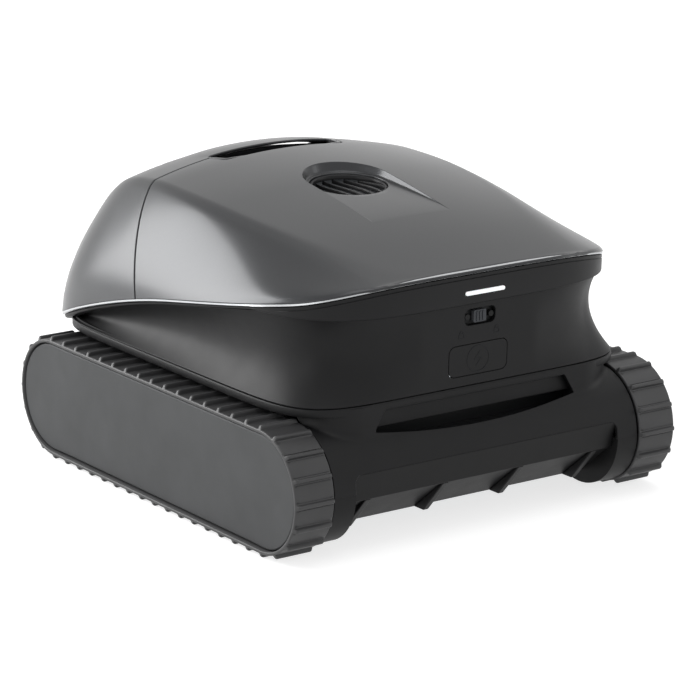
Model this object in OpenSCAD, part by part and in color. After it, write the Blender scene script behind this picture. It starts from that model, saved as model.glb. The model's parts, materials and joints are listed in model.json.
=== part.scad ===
// Tracked robotic pool cleaner. Millimetres, +Z up, front at -Y, origin on the ground at the middle.

/* [Tracks] */
// Overall width across both belts
track_outer_w = 400; // [388:1:412]
// Distance between the front and rear wheel axes
wheel_base = 337; // [331:1:343]
// Radius of the belt's outer face, without its lugs
belt_r = 53.8; // [53:0.1:54.6]
// Thickness of the belt band
belt_t = 3.1; // [2.6:0.1:3.4]
// Width of the belt
belt_w = 38.5; // [37:0.5:40]
// Height of a lug above the belt
lug_h = 3.5; // [2.5:0.1:4.5]
// Width of a lug along the belt
lug_w = 4; // [3:0.1:5]
// Distance from a lug's end to the belt's edge
lug_inset = 0.8; // [0.5:0.1:1.5]
// Number of lugs round the belt
lug_count = 48; // [44:2:52]
// Height of the guide rib inside the belt
rib_h = 4; // [3:0.1:5]
// Width of the guide rib
rib_w = 5; // [4:0.1:6]
// Gap between a wheel or rail and the belt's inner face
belt_slack = 0.4; // [0.3:0.05:0.6]
// Gap between the side cover's rim and the belt's inner face
cover_gap = 1; // [0.6:0.1:1.4]
// Distance that the side cover sits inside the belt's outer edge
cover_inset = 1.5; // [1:0.1:2]
// Thickness of the side cover
cover_t = 4.5; // [4:0.1:5]
// Height of the crease below which the side cover is bevelled
cover_crease_z = 41; // [38:1:44]
// Depth of the bevel at the side cover's lower edge
cover_bevel = 2.6; // [1:0.1:3]
// Gap between the lower body and a belt
belt_side_gap = 1.5; // [1.2:0.1:2]

/* [Wheels and drive] */
// Thickness of the track frame plate
frame_t = 3; // [2.5:0.1:3.5]
// Radius of a wheel axle
axle_r = 6; // [5:0.1:7]
// Wall of a wheel bush
bush_wall = 3; // [2.5:0.1:3.5]
// Radial gap of a running shaft
running_gap = 0.05; // [0.03:0.01:0.08]
// Width of a wheel
wheel_w = 18; // [16:0.5:19]
// Width of a wheel gear
gear_w = 7; // [6:0.1:7.5]
// Gap between parts that turn and their neighbours along the axle
side_play = 1.2; // [1:0.1:1.5]
// Gear module
gear_m = 1.5; // [1.45:0.01:1.55]
// Teeth on a wheel gear
gear_teeth = 40; // [40:4:40]
// Teeth on a drive pinion
pinion_teeth = 12; // [12:1:12]
// Extra centre distance that gives the teeth backlash
mesh_slack = 0.2; // [0.15:0.01:0.3]
// Angle of the pinion above the wheel axle's level
pinion_angle = 15; // [13:1:16]
// Radius of a drive motor
motor_r = 16; // [14:0.1:16.2]
// Length of a drive motor
motor_len = 44; // [36:1:50]
// Radius of a drive motor's shaft
motor_shaft_r = 2.5; // [2:0.1:3]
// Radius of a cover post
post_r = 5; // [4:0.1:6]

/* [Lower body] */
// Wall of the body mouldings
wall = 3; // [2.6:0.1:3.2]
// Height of the belly above the ground
belly_z = 16; // [14:0.5:18]
// Distance of the tub's front face ahead of the middle
tub_front = 150; // [149:0.5:151]
// Distance of the tub's rear face behind the middle
tub_rear = 183; // [178:1:185]
// Radius of the front barrel
barrel_r = 52; // [51:0.1:52.6]
// Distance of the upright face above the barrel from the barrel's axis
face_reach = 31.5; // [30:0.5:33]
// Corner radius of the front housing in plan
face_corner_r = 44; // [38:1:46]
// Thickness of the seal on the tub's rim
seal_t = 1.5; // [1:0.1:2]
// Half the width of the inset front panel
panel_half_w = 138.5; // [134:0.5:142]
// Height of the front panel's top edge
panel_top_z = 72.5; // [70:0.5:75]
// Height of the front panel's lower edge
panel_low_z = 47.5; // [45:0.5:50]
// Distance of the panel's lower edge ahead of the barrel's axis
panel_reach = 43.5; // [42:0.5:45]
// Thickness of the front panel
panel_t = 3; // [2.5:0.1:3.5]
// Thickness of a front rib
front_rib_t = 6; // [5:0.5:7]
// Distance between neighbouring front ribs
front_rib_pitch = 80; // [74:1:84]
// Distance of a front rib's toe ahead of the barrel's axis
rib_toe_reach = 14.5; // [12:0.5:17]
// Distance of the belly's front edge ahead of the barrel's axis
belly_reach = 1; // [0:0.5:3]
// Half the width of the finger grip
grip_half_w = 102; // [95:1:106]
// Depth of the finger grip's mouth at its middle
grip_depth = 7.5; // [6:0.1:8.5]
// Depth of the finger space behind the upright face
grip_reach = 15; // [12:0.5:18]
// Depth of the rear housing behind the tub
rear_depth = 22; // [18:1:24]

/* [Upper housing] */
// Gap between the lugs and the ledge over the tracks
ledge_gap = 2.4; // [2:0.1:4]
// Overhang of the ledge beyond the lower body
ledge_over = 17; // [15:0.5:18]
// Reach of the ledge ahead of the front axle
ledge_front = 32.5; // [31:0.5:34]
// Reach of the ledge behind the tub
ledge_rear = 26; // [25:0.5:27]
// Depth of the hollow of the waist
waist_depth = 13; // [10:0.5:14]
// Height of the brow's lower edge above the ledge at the front
brow_rise = 81; // [79:0.5:83]
// Height of the brow strip along the sides
strip_h = 6; // [5:0.5:8]
// Overhang of the brow beyond the waist below it
brow_over = 3.6; // [3:0.1:4.5]
// Gap between mouldings that meet along a curved edge
seat_gap = 0.3; // [0.25:0.05:0.4]

/* [Top shell] */
// Thickness of the glossy shell
skin = 2.4; // [2.1:0.1:2.7]
// Overhang of the shell's brim beyond the lower body
brim_over = 19; // [18:0.5:20]
// Reach of the brim ahead of the front axle
brim_front = 44; // [43:0.2:45]
// Reach of the brim behind the tub
brim_rear = 42.5; // [41.5:0.1:42.5]
// Height of the brim above the ledge at the middle of its side
brim_rise = 65.6; // [64:0.2:67]
// Fall of the brim per unit of length towards the rear
brim_fall = 0.178; // [0.17:0.001:0.185]
// Height of the roof above the ledge at its highest knot
roof_rise = 159.7; // [158:0.1:161.5]
// Rounding between the roof and the flanks
crease_soft = 4.4; // [3.5:0.1:6]
// Rounding between the flanks and the tail
tail_soft = 14; // [10:0.5:18]

/* [Lid and handle] */
// Distance of the shut line behind the middle at brim height
seam_y = 56; // [52:1:60]
// Lean of the shut line towards the rear, in degrees
seam_lean = 26.5; // [25:0.1:28]
// Gap of the shut line
seam_gap = 1.1; // [1:0.05:1.3]
// Half the width of the front hand slot
slot_half_w = 70; // [64:1:74]
// Width of the front hand slot behind the shut line
slot_w = 7; // [6:0.5:9]
// Depth of the slot's notch in the top cover ahead of the shut line
notch_run = 20; // [17:0.5:22]
// Width of the handle strap
strap_w = 40; // [38:0.5:42]
// Width of the rear hand slot
rear_slot_w = 24; // [20:0.5:26]
// Height of the handle bar under the strap
bar_h = 9; // [8:0.5:11]
// Depth of the hand pocket below the roof
pocket_depth = 44; // [38:1:48]
// Radius of the lid's hinge pins
hinge_pin_r = 2.5; // [2:0.1:3]
// Wall of a hinge knuckle
knuckle_wall = 2.4; // [2:0.1:2.6]
// Height of the strap's crown above the roof
strap_rise = 1.2; // [0.8:0.1:2]

/* [Exhaust and pump] */
// Distance of the pump's axis ahead of the middle
pump_front = 12; // [10:0.5:13]
// Radius of the exhaust recess
recess_r = 41; // [40:0.5:42.5]
// Length of the recess from the pump's axis to its vanishing edge
recess_run = 95; // [92:1:98]
// Height of the recess floor above the ledge at the pump's axis
recess_floor = 145.4; // [144:0.2:146]
// Lean of the recess floor, in degrees
recess_lean = 4; // [3.7:0.1:4.3]
// Radius of the outlet in the recess floor
outlet_r = 35.3; // [34.5:0.1:36]
// Number of grille bars
bar_count = 7; // [5:2:7]
// Thickness of a grille bar
grille_t = 2; // [1.6:0.1:2.4]
// Inner radius of the pump duct
duct_r = 39.5; // [38.5:0.1:40]
// Wall of the pump duct
duct_wall = 2.5; // [2:0.1:3]
// Radius of the pump motor
pump_r = 30; // [26:0.5:31]
// Height of the pump motor
pump_h = 56; // [50:1:60]
// Gap between the impeller's blades and the duct
blade_gap = 0.8; // [0.6:0.1:1.2]
// Number of impeller blades
blade_count = 5; // [3:1:7]
// Radius of the pump shaft
pump_shaft_r = 3; // [2.5:0.1:3.5]
// Thickness of the pump deck
deck_t = 3; // [2.5:0.1:3.5]

/* [Brush and intake] */
// Radius of the brush over its blades
brush_r = 18; // [16:0.5:18]
// Distance of the brush's end inside the body's side
brush_end_in = 35; // [34:0.5:45]
// Wall of the brush tube
brush_wall = 3; // [2:0.1:3.2]
// Radius of the brush tube
brush_tube_r = 12; // [11:0.5:13]
// Number of brush blades
brush_blades_n = 6; // [4:1:8]
// Gap between the brush and the ground
brush_lift = 1.5; // [1:0.5:3]
// Half the width of the intake slot
intake_half_w = 60; // [50:1:64]
// Length of the intake slot
intake_len = 20; // [16:1:22]
// Height of the intake throat
throat_h = 30; // [26:1:32]

/* [Basket and electronics] */
// Half the width of the filter basket
basket_half_w = 118; // [110:1:122]
// Length of the filter basket
basket_len = 104; // [96:1:106]
// Height of the filter basket
basket_h = 154; // [140:1:158]
// Wall of the basket
basket_wall = 2.5; // [2:0.1:3]
// Radius of the inlet flap's pivot
flap_pin_r = 1.3; // [1.1:0.1:1.5]
// Half the width of the battery pack
battery_half_w = 104; // [90:1:106]
// Height of the battery pack
battery_h = 44; // [38:1:48]
// Half the width of the control box
box_half_w = 76; // [60:1:80]
// Depth of the control box
box_depth = 21; // [16:0.5:21.5]
// Height of the control box
box_h = 54; // [40:1:56]
// Distance of the control box behind the upright face
box_back = 27; // [26.5:0.1:28]
// Height of the float blocks
float_h = 46; // [38:1:48]
// Gap between the float blocks and the pump duct
float_gap = 14; // [8:0.5:16]
// Distance of the float blocks inside the tub's side
float_in = 16; // [12:0.5:20]

/* [Front controls] */
// Length of the status light
light_len = 41; // [36:1:44]
// Height of the status light
light_h = 4.5; // [4:0.1:5]
// Height of the light above the ledge
light_rise = 91; // [89:0.5:93]
// Width of the switch opening
switch_w = 32; // [28:0.5:34]
// Height of the switch opening
switch_h = 14.5; // [13:0.5:16]
// Height of the switch above the ledge
switch_rise = 68; // [66:0.5:70]
// Width of the switch's slider
slider_w = 13; // [11:0.5:14]
// Width of the charge port cover
port_w = 62; // [58:0.5:66]
// Height of the charge port cover
port_h = 28; // [26:0.5:30]
// Height of the charge port above the ledge
port_rise = 30.5; // [29:0.5:32]
// Thickness of the charge port cover
port_t = 2.8; // [2.4:0.1:3]
// Radius of the charge socket
socket_r = 9; // [7:0.5:10]

/* [Hidden] */

$fn = 72;
cut = 0.5;              // overshoot of every cutting solid
big = 900;              // larger than the whole machine
facets = 72;            // points round each lofted ring

// Tracks and wheels
axle_z = belt_r + lug_h;
axle_y = wheel_base / 2;
belt_in_r = belt_r - belt_t;
belt_x = track_outer_w / 2 - belt_w;
body_half_w = belt_x - belt_side_gap;
frame_x = body_half_w + frame_t;
gear_x = frame_x + side_play;
wheel_x = gear_x + gear_w;
wheel_r = belt_in_r - belt_slack;
cover_x = track_outer_w / 2 - cover_inset - cover_t;
rib_x = wheel_x + wheel_w / 2;
bush_r = axle_r + running_gap + bush_wall;
gear_r = gear_m * gear_teeth / 2;
pinion_r = gear_m * pinion_teeth / 2;
mesh_reach = gear_r + pinion_r + mesh_slack;
pinion_y = -axle_y + mesh_reach * cos(pinion_angle);
pinion_z = axle_z + mesh_reach * sin(pinion_angle);
tooth_out = 0.85 * gear_m;
tooth_in = 1.15 * gear_m;
rail_half = axle_y - wheel_r - 10;
post_pitch = 60;
screw_y = axle_y - 43.5;
screw_zs = [axle_z - 20, axle_z + 29.7];
screw_r = 2;
screw_head_r = 4;
belt_loop = 2 * wheel_base + 2 * PI * belt_r;
lug_pitch = belt_loop / lug_count;

// Heights and outlines of the body
ledge_z = 2 * (belt_r + lug_h) + ledge_gap;
rim_z = ledge_z - seal_t;
grip_low_z = axle_z + 26;
grip_top_z = ledge_z - 13;
face_y = -axle_y - face_reach;
tub_in_x = body_half_w - wall;
ledge_w = body_half_w + ledge_over;
ledge_lf = axle_y + ledge_front;
ledge_lr = tub_rear + ledge_rear;
brim_w = body_half_w + brim_over;
brim_lf = axle_y + brim_front;
brim_lr = tub_rear + brim_rear;
brim_nf = 4.06;
brow_nf = 4.4;
brim_nr = 8;
ledge_nf = 7;
ledge_nr = 8;
ledge_lip = 8;
ledge_drop_y = tub_rear + 3;
ledge_drop = 14;
brow_low_z = ledge_z + brow_rise;
brow_t = 8;
mouth_in = 27;          // width of the flange under the upper housing
dome_y = 20;            // centre of the shell's rings
tail_gain = 10.97;
tail_power = 0.606;

// Knots of the roof: distance along the body, and height above the ledge
roof_y = [-brim_lf, -110, -10, 60, 110, 160, brim_lr];
roof_h = [109, 134.4, 152.1, roof_rise - 0.5, roof_rise, roof_rise - 10.1, roof_rise - 56.2];
// Knots of the crease: share of the brim's half width
crease_y = [-brim_lf, -160, -60, 20, 100, brim_lr];
crease_share = [0.59, 0.622, 0.713, 0.746, 0.735, 0.69];
// Knots of the flank: power and bulge of its curve
flank_y = [-brim_lf, 0, brim_lr];
flank_power = [0.52, 0.887, 0.536];
flank_bulge = [-0.32, 0.49, -0.1];

// Lid
seam_z = brim_z(seam_y);
slot_y0 = seam_y + (ledge_z + roof_rise - 4 - seam_z) * tan(seam_lean);
strap_y0 = slot_y0 + slot_w;
strap_y1 = strap_y0 + strap_w;
slot_y1 = strap_y1 + rear_slot_w;
slot_step = 6;          // extra half width of the rear slot
pocket_x = slot_half_w + slot_step + 8;
pocket_y0 = slot_y0 + 1.5;
pocket_wall = 2;
pocket_z = ledge_z + roof_rise - pocket_depth;
knuckle_r = hinge_pin_r + knuckle_wall;
hinge_y = brim_lr - knuckle_r - 1;
hinge_z = ledge_z;
hinge_x0 = 50;
hinge_x1 = 80;
knuckle_gap = 0.5;
foot_len = 9;           // length and height of the hinge's foot
foot_h = 8;
notch_half_w = 150;
notch_y = hinge_y - knuckle_r - 1;
bar_y0 = strap_y0 + 9;
bar_y1 = strap_y1 - 1;
latch_x = slot_half_w + 4;
latch_w = 16;
latch_h = 10;
latch_drop = 22.5;
bar_gap = 2;            // gap over the handle bar, which its ends carry

// Pump
pump_y = -pump_front;
deck_z = ledge_z - 14;
deck_front = 90;
deck_rear = 30;
floor_z = ledge_z + recess_floor;
recess_wall = 2;
recess_t = 2.4;
impeller_z = deck_z + pump_h + 14;
impeller_h = 20;
hub_r = 12;
shelf_w = 7;

// Brush, intake and basket
brush_half_len = body_half_w - brush_end_in;
brush_z = brush_r + brush_lift;
tunnel_gap = 2.5;
brush_y = -(tub_front - wall - wall - brush_r - tunnel_gap - 6.5);
tunnel_r = brush_r + tunnel_gap;
tunnel_top = brush_z + tunnel_r;
block_top = tunnel_top + wall;
block_rear = brush_y + tunnel_r + 6.5;
tunnel_x = brush_half_len + 3;
brush_pin_r = 4;
tub_floor = belly_z + wall;
intake_y = block_rear + 2;
throat_y0 = block_rear;
throat_y1 = 9;
throat_wall = 2;
flap_t = 1.6;
flap_y = throat_y1 + seat_gap + flap_pin_r;
flap_wall = 1.3;
basket_y = throat_y1 + 5;
basket_z = tub_floor;
basket_shift = basket_h * tan(seam_lean);
battery_z = tub_floor + throat_h;
flap_z = battery_z - 1.8;

// Front controls
light_z = ledge_z + light_rise;
switch_z = ledge_z + switch_rise;
port_z = ledge_z + port_rise;
port_gap = 0.4;
port_pin_r = 0.8;
port_fold = 2.2;

// ---------------------------------------------------------------- outlines and surfaces

function clamp(v, low, high) = max(low, min(high, v));
function mix(a, b, t) = a + (b - a) * t;
function soft_min(a, b, k) = let (h = clamp(0.5 + 0.5 * (b - a) / k, 0, 1)) mix(b, a, h) - k * h * (1 - h);

// Smooth curve through knots (ts, vs)
function knot_slope(ts, vs, i) = let (a = max(i - 1, 0), b = min(i + 1, len(ts) - 1))
    (vs[b] - vs[a]) / (ts[b] - ts[a]);
function span_of(ts, t, i = 0) = (i >= len(ts) - 2 || t < ts[i + 1]) ? i : span_of(ts, t, i + 1);
function along(ts, vs, t0) =
    let (t = clamp(t0, ts[0], ts[len(ts) - 1]), i = span_of(ts, t), h = ts[i + 1] - ts[i], s = (t - ts[i]) / h)
    (1 + 2 * s) * pow(1 - s, 2) * vs[i] + s * pow(1 - s, 2) * h * knot_slope(ts, vs, i)
    + s * s * (3 - 2 * s) * vs[i + 1] + s * s * (s - 1) * h * knot_slope(ts, vs, i + 1);

// Rounded plan outline: distance from the middle in direction a
function outline_r(a, w, lf, lr, nf, nr) =
    let (l = sin(a) < 0 ? lf : lr, n = sin(a) < 0 ? nf : nr)
    pow(pow(abs(cos(a)) / w, n) + pow(abs(sin(a)) / l, n), -1 / n);
function half_w(y) = let (l = y < 0 ? brim_lf : brim_lr, n = y < 0 ? brim_nf : brim_nr)
    brim_w * pow(clamp(1 - pow(abs(y) / l, n), 0, 1), 1 / n);
function half_l(x) = brim_lr * pow(clamp(1 - pow(abs(x) / brim_w, brim_nr), 0, 1), 1 / brim_nr);

// Height of the brim, the ledge and the brow's lower edge at distance y along the body
function brim_z(y) = ledge_z + brim_rise - brim_fall * y - 0.0005 * pow(max(0, y), 2)
    + 0.0029 * pow(max(0, -161.6 - y), 2);
function ledge_low(y) = ledge_z - ledge_drop * pow(max(0, y - ledge_drop_y) / (ledge_lr - ledge_drop_y), 2);
function brow_low(y) = min(brim_z(y) - strip_h, brow_low_z);

// Height of the glossy shell over the plan
function roof_z(x, y) = ledge_z + along(roof_y, roof_h, y) - (0.00068 + 0.0000026 * y) * x * x;
function crease_x(y) = brim_w * along(crease_y, crease_share, y);
function flank_z(x, y) =
    let (c = crease_x(y), b = half_w(y), u = clamp((b - abs(x)) / max(b - c, 0.01), 0, 50),
        rise = pow(u, along(flank_y, flank_power, y)) * (1 + along(flank_y, flank_bulge, y) * max(0, 1 - u)))
    brim_z(y) + (roof_z(c, y) - brim_z(y)) * rise;
function tail_z(x, y) = brim_z(y) + tail_gain * pow(max(0, half_l(x) - y), tail_power);
function shell_z(x, y) = max(brim_z(y),
    soft_min(soft_min(roof_z(x, y), flank_z(x, y), crease_soft), tail_z(x, y), tail_soft));

// Triangles between two rings of n points whose first points are numbered a and b
function strip(a, b, n) = [for (i = [0:n - 1]) let (j = (i + 1) % n) each [[a + i, b + i, a + j], [a + j, b + i, b + j]]];

// Solid through a list of rings; a closed one joins its last ring to its first
module loft(rings, closed = false) {
    n = len(rings[0]);
    m = len(rings);
    sides = [for (j = [0:(closed ? m : m - 1) - 1]) each strip(j * n, (j + 1) % m * n, n)];
    caps = closed ? [] : [[for (i = [0:n - 1]) i], [for (i = [n - 1:-1:0]) (m - 1) * n + i]];
    polyhedron([for (r = rings) each r], concat(sides, caps));
}

// Thin dome between two lists of rings that run from the brim to the crown, with a crown point each
module dome_skin(outer, inner, crown_out, crown_in) {
    n = len(outer[0]);
    mo = len(outer);
    mi = len(inner);
    all_rings = concat(outer, inner);
    last_o = (mo - 1) * n;
    last_i = (mo + mi - 1) * n;
    top = (mo + mi) * n;
    sides_o = [for (j = [0:mo - 2]) each strip(j * n, (j + 1) * n, n)];
    sides_i = [for (j = [mo:mo + mi - 2]) each strip((j + 1) * n, j * n, n)];
    fan_o = [for (i = [0:n - 1]) [last_o + i, top, last_o + (i + 1) % n]];
    fan_i = [for (i = [0:n - 1]) [last_i + (i + 1) % n, top + 1, last_i + i]];
    polyhedron(concat([for (r = all_rings) each r], [crown_out, crown_in]),
        concat(sides_o, sides_i, strip(mo * n, 0, n), fan_o, fan_i));
}

// Ring of the glossy shell at share f of its outline, drawn in by inset and lowered by drop
function shell_ring(f, inset, drop) = [for (i = [0:facets - 1])
    let (a = 360 * i / facets, r = outline_r(a, brim_w, brim_lf, brim_lr, brim_nf, brim_nr),
        y0 = (1 - f) * dome_y, x = f * r * cos(a), y = f * r * sin(a) + y0,
        xi = f * (r - inset) * cos(a), yi = f * (r - inset) * sin(a) + y0)
    [xi, yi, f == 1 ? brim_z(yi) : shell_z(x, y) - drop]];
outer_shares = [1, 0.985, 0.965, 0.94, 0.905, 0.86, 0.81, 0.75, 0.66, 0.52, 0.3];
inner_shares = [1, 0.97, 0.92, 0.84, 0.74, 0.6, 0.3];

module shell_skin() dome_skin(
    [for (f = outer_shares) shell_ring(f, 0, 0)], [for (f = inner_shares) shell_ring(f, skin, skin)],
    [0, dome_y, shell_z(0, dome_y)], [0, dome_y, shell_z(0, dome_y) - skin]);

// Solid space under the shell, lowered by drop, down to height z0
module under_shell(drop, z0) {
    foot = [for (p = shell_ring(0.97, drop, drop)) [p[0], p[1], z0]];
    loft(concat([foot], [for (f = [0.97, 0.92, 0.85, 0.76, 0.64, 0.42, 0.1]) shell_ring(f, drop, drop)]));
}

// Ring of the upper housing at share s of its height from ledge to brow, drawn in by inset
function waist_ring(s, inset) = [for (i = [0:facets - 1])
    let (a = 360 * i / facets,
        ra = outline_r(a, ledge_w, ledge_lf, ledge_lr, ledge_nf, ledge_nr),
        rb = outline_r(a, brim_w, brim_lf, brim_lr, brow_nf, brim_nr) - brow_over - brow_over - seat_gap,
        hollow = waist_depth * (0.07 + 0.93 * clamp((abs(ra * cos(a)) - 60) / 80, 0, 1)),
        r = mix(ra, rb, s) - hollow * 4 * s * (1 - s) - inset, y = r * sin(a))
    [r * cos(a), y, mix(ledge_low(y) + ledge_lip, brow_low(y) - seat_gap, s)]];
function lowered(ring, d) = [for (p = ring) [p[0], p[1], p[2] - d]];

// Ring of the brow at share s of its height, drawn in by inset
function brow_ring(s, inset) = [for (i = [0:facets - 1])
    let (a = 360 * i / facets, n = mix(brow_nf, brim_nf, s),
        r = outline_r(a, brim_w, brim_lf, brim_lr, n, brim_nr) - inset, y = r * sin(a))
    [r * cos(a), y, mix(brow_low(y), brim_z(y) - seat_gap, s)]];

// ---------------------------------------------------------------- shared shapes

module xrod(r, x0, x1, y, z) translate([x0, y, z]) rotate([0, 90, 0]) cylinder(r = r, h = x1 - x0);
module yrod(r, y0, y1, x, z) translate([x, y1, z]) rotate([90, 0, 0]) cylinder(r = r, h = y1 - y0);
module block(x0, x1, y0, y1, z0, z1) translate([x0, y0, z0]) cube([x1 - x0, y1 - y0, z1 - z0]);
module mid_block(hx, y0, y1, z0, z1) block(-hx, hx, y0, y1, z0, z1);
module both() {
    children();
    mirror([1, 0, 0]) children();
}
module on_side(right) {
    if (right) children();
    else mirror([1, 0, 0]) children();
}

// Long round-ended solid along the track, radius r about each axle
module stadium(r, x0, x1) {
    xrod(r, x0, x1, -axle_y, axle_z);
    xrod(r, x0, x1, axle_y, axle_z);
    block(x0, x1, -axle_y, axle_y, axle_z - r, axle_z + r);
}

// Everything behind the shut line, moved back by d
module behind_seam(d) translate([0, seam_y, seam_z]) rotate([-seam_lean, 0, 0])
    translate([-big / 2, d, -big / 2]) cube(big);

// Everything above the recess floor, moved up by d
module above_floor(d) translate([0, pump_y, floor_z]) rotate([recess_lean, 0, 0])
    translate([-big / 2, -big / 2, d]) cube(big);

// Plan of the exhaust recess as an upright prism, grown by d
module recess_plan(d) {
    translate([0, pump_y, floor_z - 40]) cylinder(r = recess_r + d, h = 100);
    translate([-recess_r - d, pump_y - recess_run, floor_z - 40]) cube([2 * (recess_r + d), recess_run, 100]);
}

// Toothed wheel in the XY plane, a tooth at angle 0
module toothed(n, pitch_r, width) {
    step = 360 / n;
    root = pitch_r - tooth_in;
    tip = pitch_r + tooth_out;
    linear_extrude(width) polygon([for (k = [0:n - 1]) let (a = k * step)
        each [polar(root, a - 0.27 * step), polar(tip, a - 0.12 * step),
            polar(tip, a + 0.12 * step), polar(root, a + 0.27 * step)]]);
}
function polar(r, a) = [r * cos(a), r * sin(a)];

// ---------------------------------------------------------------- tracks and wheels

// Point and direction on the belt at distance s from the middle of the top run
function belt_at(s) =
    let (half = wheel_base / 2, arc = PI * belt_r)
    s < half ? [-s, belt_r, 0]
    : s < half + arc ? let (a = (s - half) / belt_r * 180 / PI)
        [-half - belt_r * sin(a), belt_r * cos(a), a]
    : s < half + arc + wheel_base ? [s - half - arc - half, -belt_r, 180]
    : s < half + 2 * arc + wheel_base ? let (a = (s - half - arc - wheel_base) / belt_r * 180 / PI)
        [half + belt_r * sin(a), -belt_r * cos(a), 180 + a]
    : [belt_loop - s, belt_r, 360];

module lug() translate([belt_x + lug_inset, -lug_w / 2, -cut])
    cube([belt_w - 2 * lug_inset, lug_w, lug_h + cut]);

module belt() color("#2b2c2e") {
    difference() {
        stadium(belt_r, belt_x, belt_x + belt_w);
        stadium(belt_in_r, belt_x - cut, belt_x + belt_w + cut);
    }
    difference() {
        stadium(belt_in_r + cut, rib_x - rib_w / 2, rib_x + rib_w / 2);
        stadium(belt_in_r - rib_h, rib_x - rib_w, rib_x + rib_w);
    }
    for (k = [0:lug_count - 1]) {
        p = belt_at(k * lug_pitch);
        translate([0, p[0], axle_z + p[1]]) rotate([p[2], 0, 0]) lug();
    }
}
module belt_left() on_side(false) belt();
module belt_right() on_side(true) belt();

module wheel(y) color("#3a3b3d") difference() {
    xrod(wheel_r, wheel_x, wheel_x + wheel_w, y, axle_z);
    xrod(bush_r, wheel_x - cut, wheel_x + wheel_w + cut, y, axle_z);
    difference() {
        xrod(wheel_r + cut, rib_x - rib_w / 2 - 1, rib_x + rib_w / 2 + 1, y, axle_z);
        xrod(wheel_r - rib_h - 1, rib_x - rib_w, rib_x + rib_w, y, axle_z);
    }
}
module bush(y) color("#c9c4b4") difference() {
    xrod(bush_r, wheel_x, wheel_x + wheel_w, y, axle_z);
    xrod(axle_r + running_gap, wheel_x - cut, wheel_x + wheel_w + cut, y, axle_z);
}
module wheel_set(y) {
    wheel(y);
    bush(y);
}
module wheel_front_left() on_side(false) wheel_set(-axle_y);
module wheel_front_right() on_side(true) wheel_set(-axle_y);
module wheel_rear_left() on_side(false) wheel_set(axle_y);
module wheel_rear_right() on_side(true) wheel_set(axle_y);

module gear() color("#d8d4c6") difference() {
    translate([gear_x, -axle_y, axle_z]) rotate([pinion_angle, 0, 0]) rotate([0, 90, 0]) rotate(90)
        toothed(gear_teeth, gear_r, gear_w);
    xrod(axle_r + 6, gear_x - cut, gear_x + gear_w + cut, -axle_y, axle_z);
}
module gear_left() on_side(false) gear();
module gear_right() on_side(true) gear();

module pinion() color("#b9bcc0") {
    translate([gear_x + 0.4, pinion_y, pinion_z]) rotate([pinion_angle, 0, 0]) rotate([0, 90, 0])
        rotate(90 + 180 / pinion_teeth) toothed(pinion_teeth, pinion_r, gear_w - 0.8);
    xrod(motor_shaft_r, body_half_w - wall - 20, gear_x + 1, pinion_y, pinion_z);
}
module pinion_left() on_side(false) pinion();
module pinion_right() on_side(true) pinion();

module drive_motors() color("#8d9196") both() difference() {
    xrod(motor_r, tub_in_x - motor_len, tub_in_x, pinion_y, pinion_z);
    xrod(motor_shaft_r + running_gap, tub_in_x - 21, tub_in_x + cut, pinion_y, pinion_z);
}

module wheel_axles() color("#aab0b6") both() for (y = [-axle_y, axle_y]) {
    xrod(axle_r, frame_x, cover_x, y, axle_z);
    xrod(axle_r + 3, frame_x, frame_x + side_play - 0.3, y, axle_z);
}

module track_frames() color("#4a4c4f") both() {
    difference() {
        stadium(belt_in_r - rib_h - 1, body_half_w, frame_x);
        xrod(motor_shaft_r + 1, body_half_w - cut, frame_x + cut, pinion_y, pinion_z);
        for (y = [-screw_y, screw_y]) for (z = screw_zs)
            xrod(screw_r + 0.1, body_half_w - cut, frame_x + cut, y, z);
    }
    for (y = [-post_pitch, 0, post_pitch]) xrod(post_r, frame_x, cover_x, y, axle_z);
}

module frame_screws() color("#9da2a7") both() for (y = [-screw_y, screw_y]) for (z = screw_zs) {
    xrod(screw_head_r, frame_x, frame_x + 2.4, y, z);
    xrod(screw_r, body_half_w - 8, frame_x + 1, y, z);
}

module belt_rails() color("#e4e2da") both() difference() {
    union() {
        for (s = [-1, 1]) {
            z = axle_z + s * (wheel_r - 3.5);
            block(frame_x, wheel_x + wheel_w, -rail_half, rail_half, z - 3.5, z + 3.5);
        }
        block(frame_x, frame_x + wall, -rail_half, rail_half, axle_z - wheel_r + 4, axle_z + wheel_r - 4);
    }
    for (s = [-1, 1]) {
        z = axle_z + s * wheel_r;
        block(rib_x - rib_w / 2 - 1, rib_x + rib_w / 2 + 1, -rail_half - cut, rail_half + cut,
            z - rib_h - 1, z + rib_h + 1);
    }
    for (y = [-post_pitch, 0, post_pitch]) xrod(post_r + 0.3, frame_x - cut, frame_x + wall + cut, y, axle_z);
}

module side_covers() color("#55575a") both() difference() {
    stadium(belt_in_r - cover_gap, cover_x, cover_x + cover_t);
    translate([cover_x + cover_t, -big / 2, cover_crease_z])
        rotate([0, atan(cover_bevel / (cover_crease_z - axle_z + belt_in_r)), 0])
        translate([0, 0, -big / 4]) cube([50, big, big / 4]);
}

// ---------------------------------------------------------------- lower body

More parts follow.
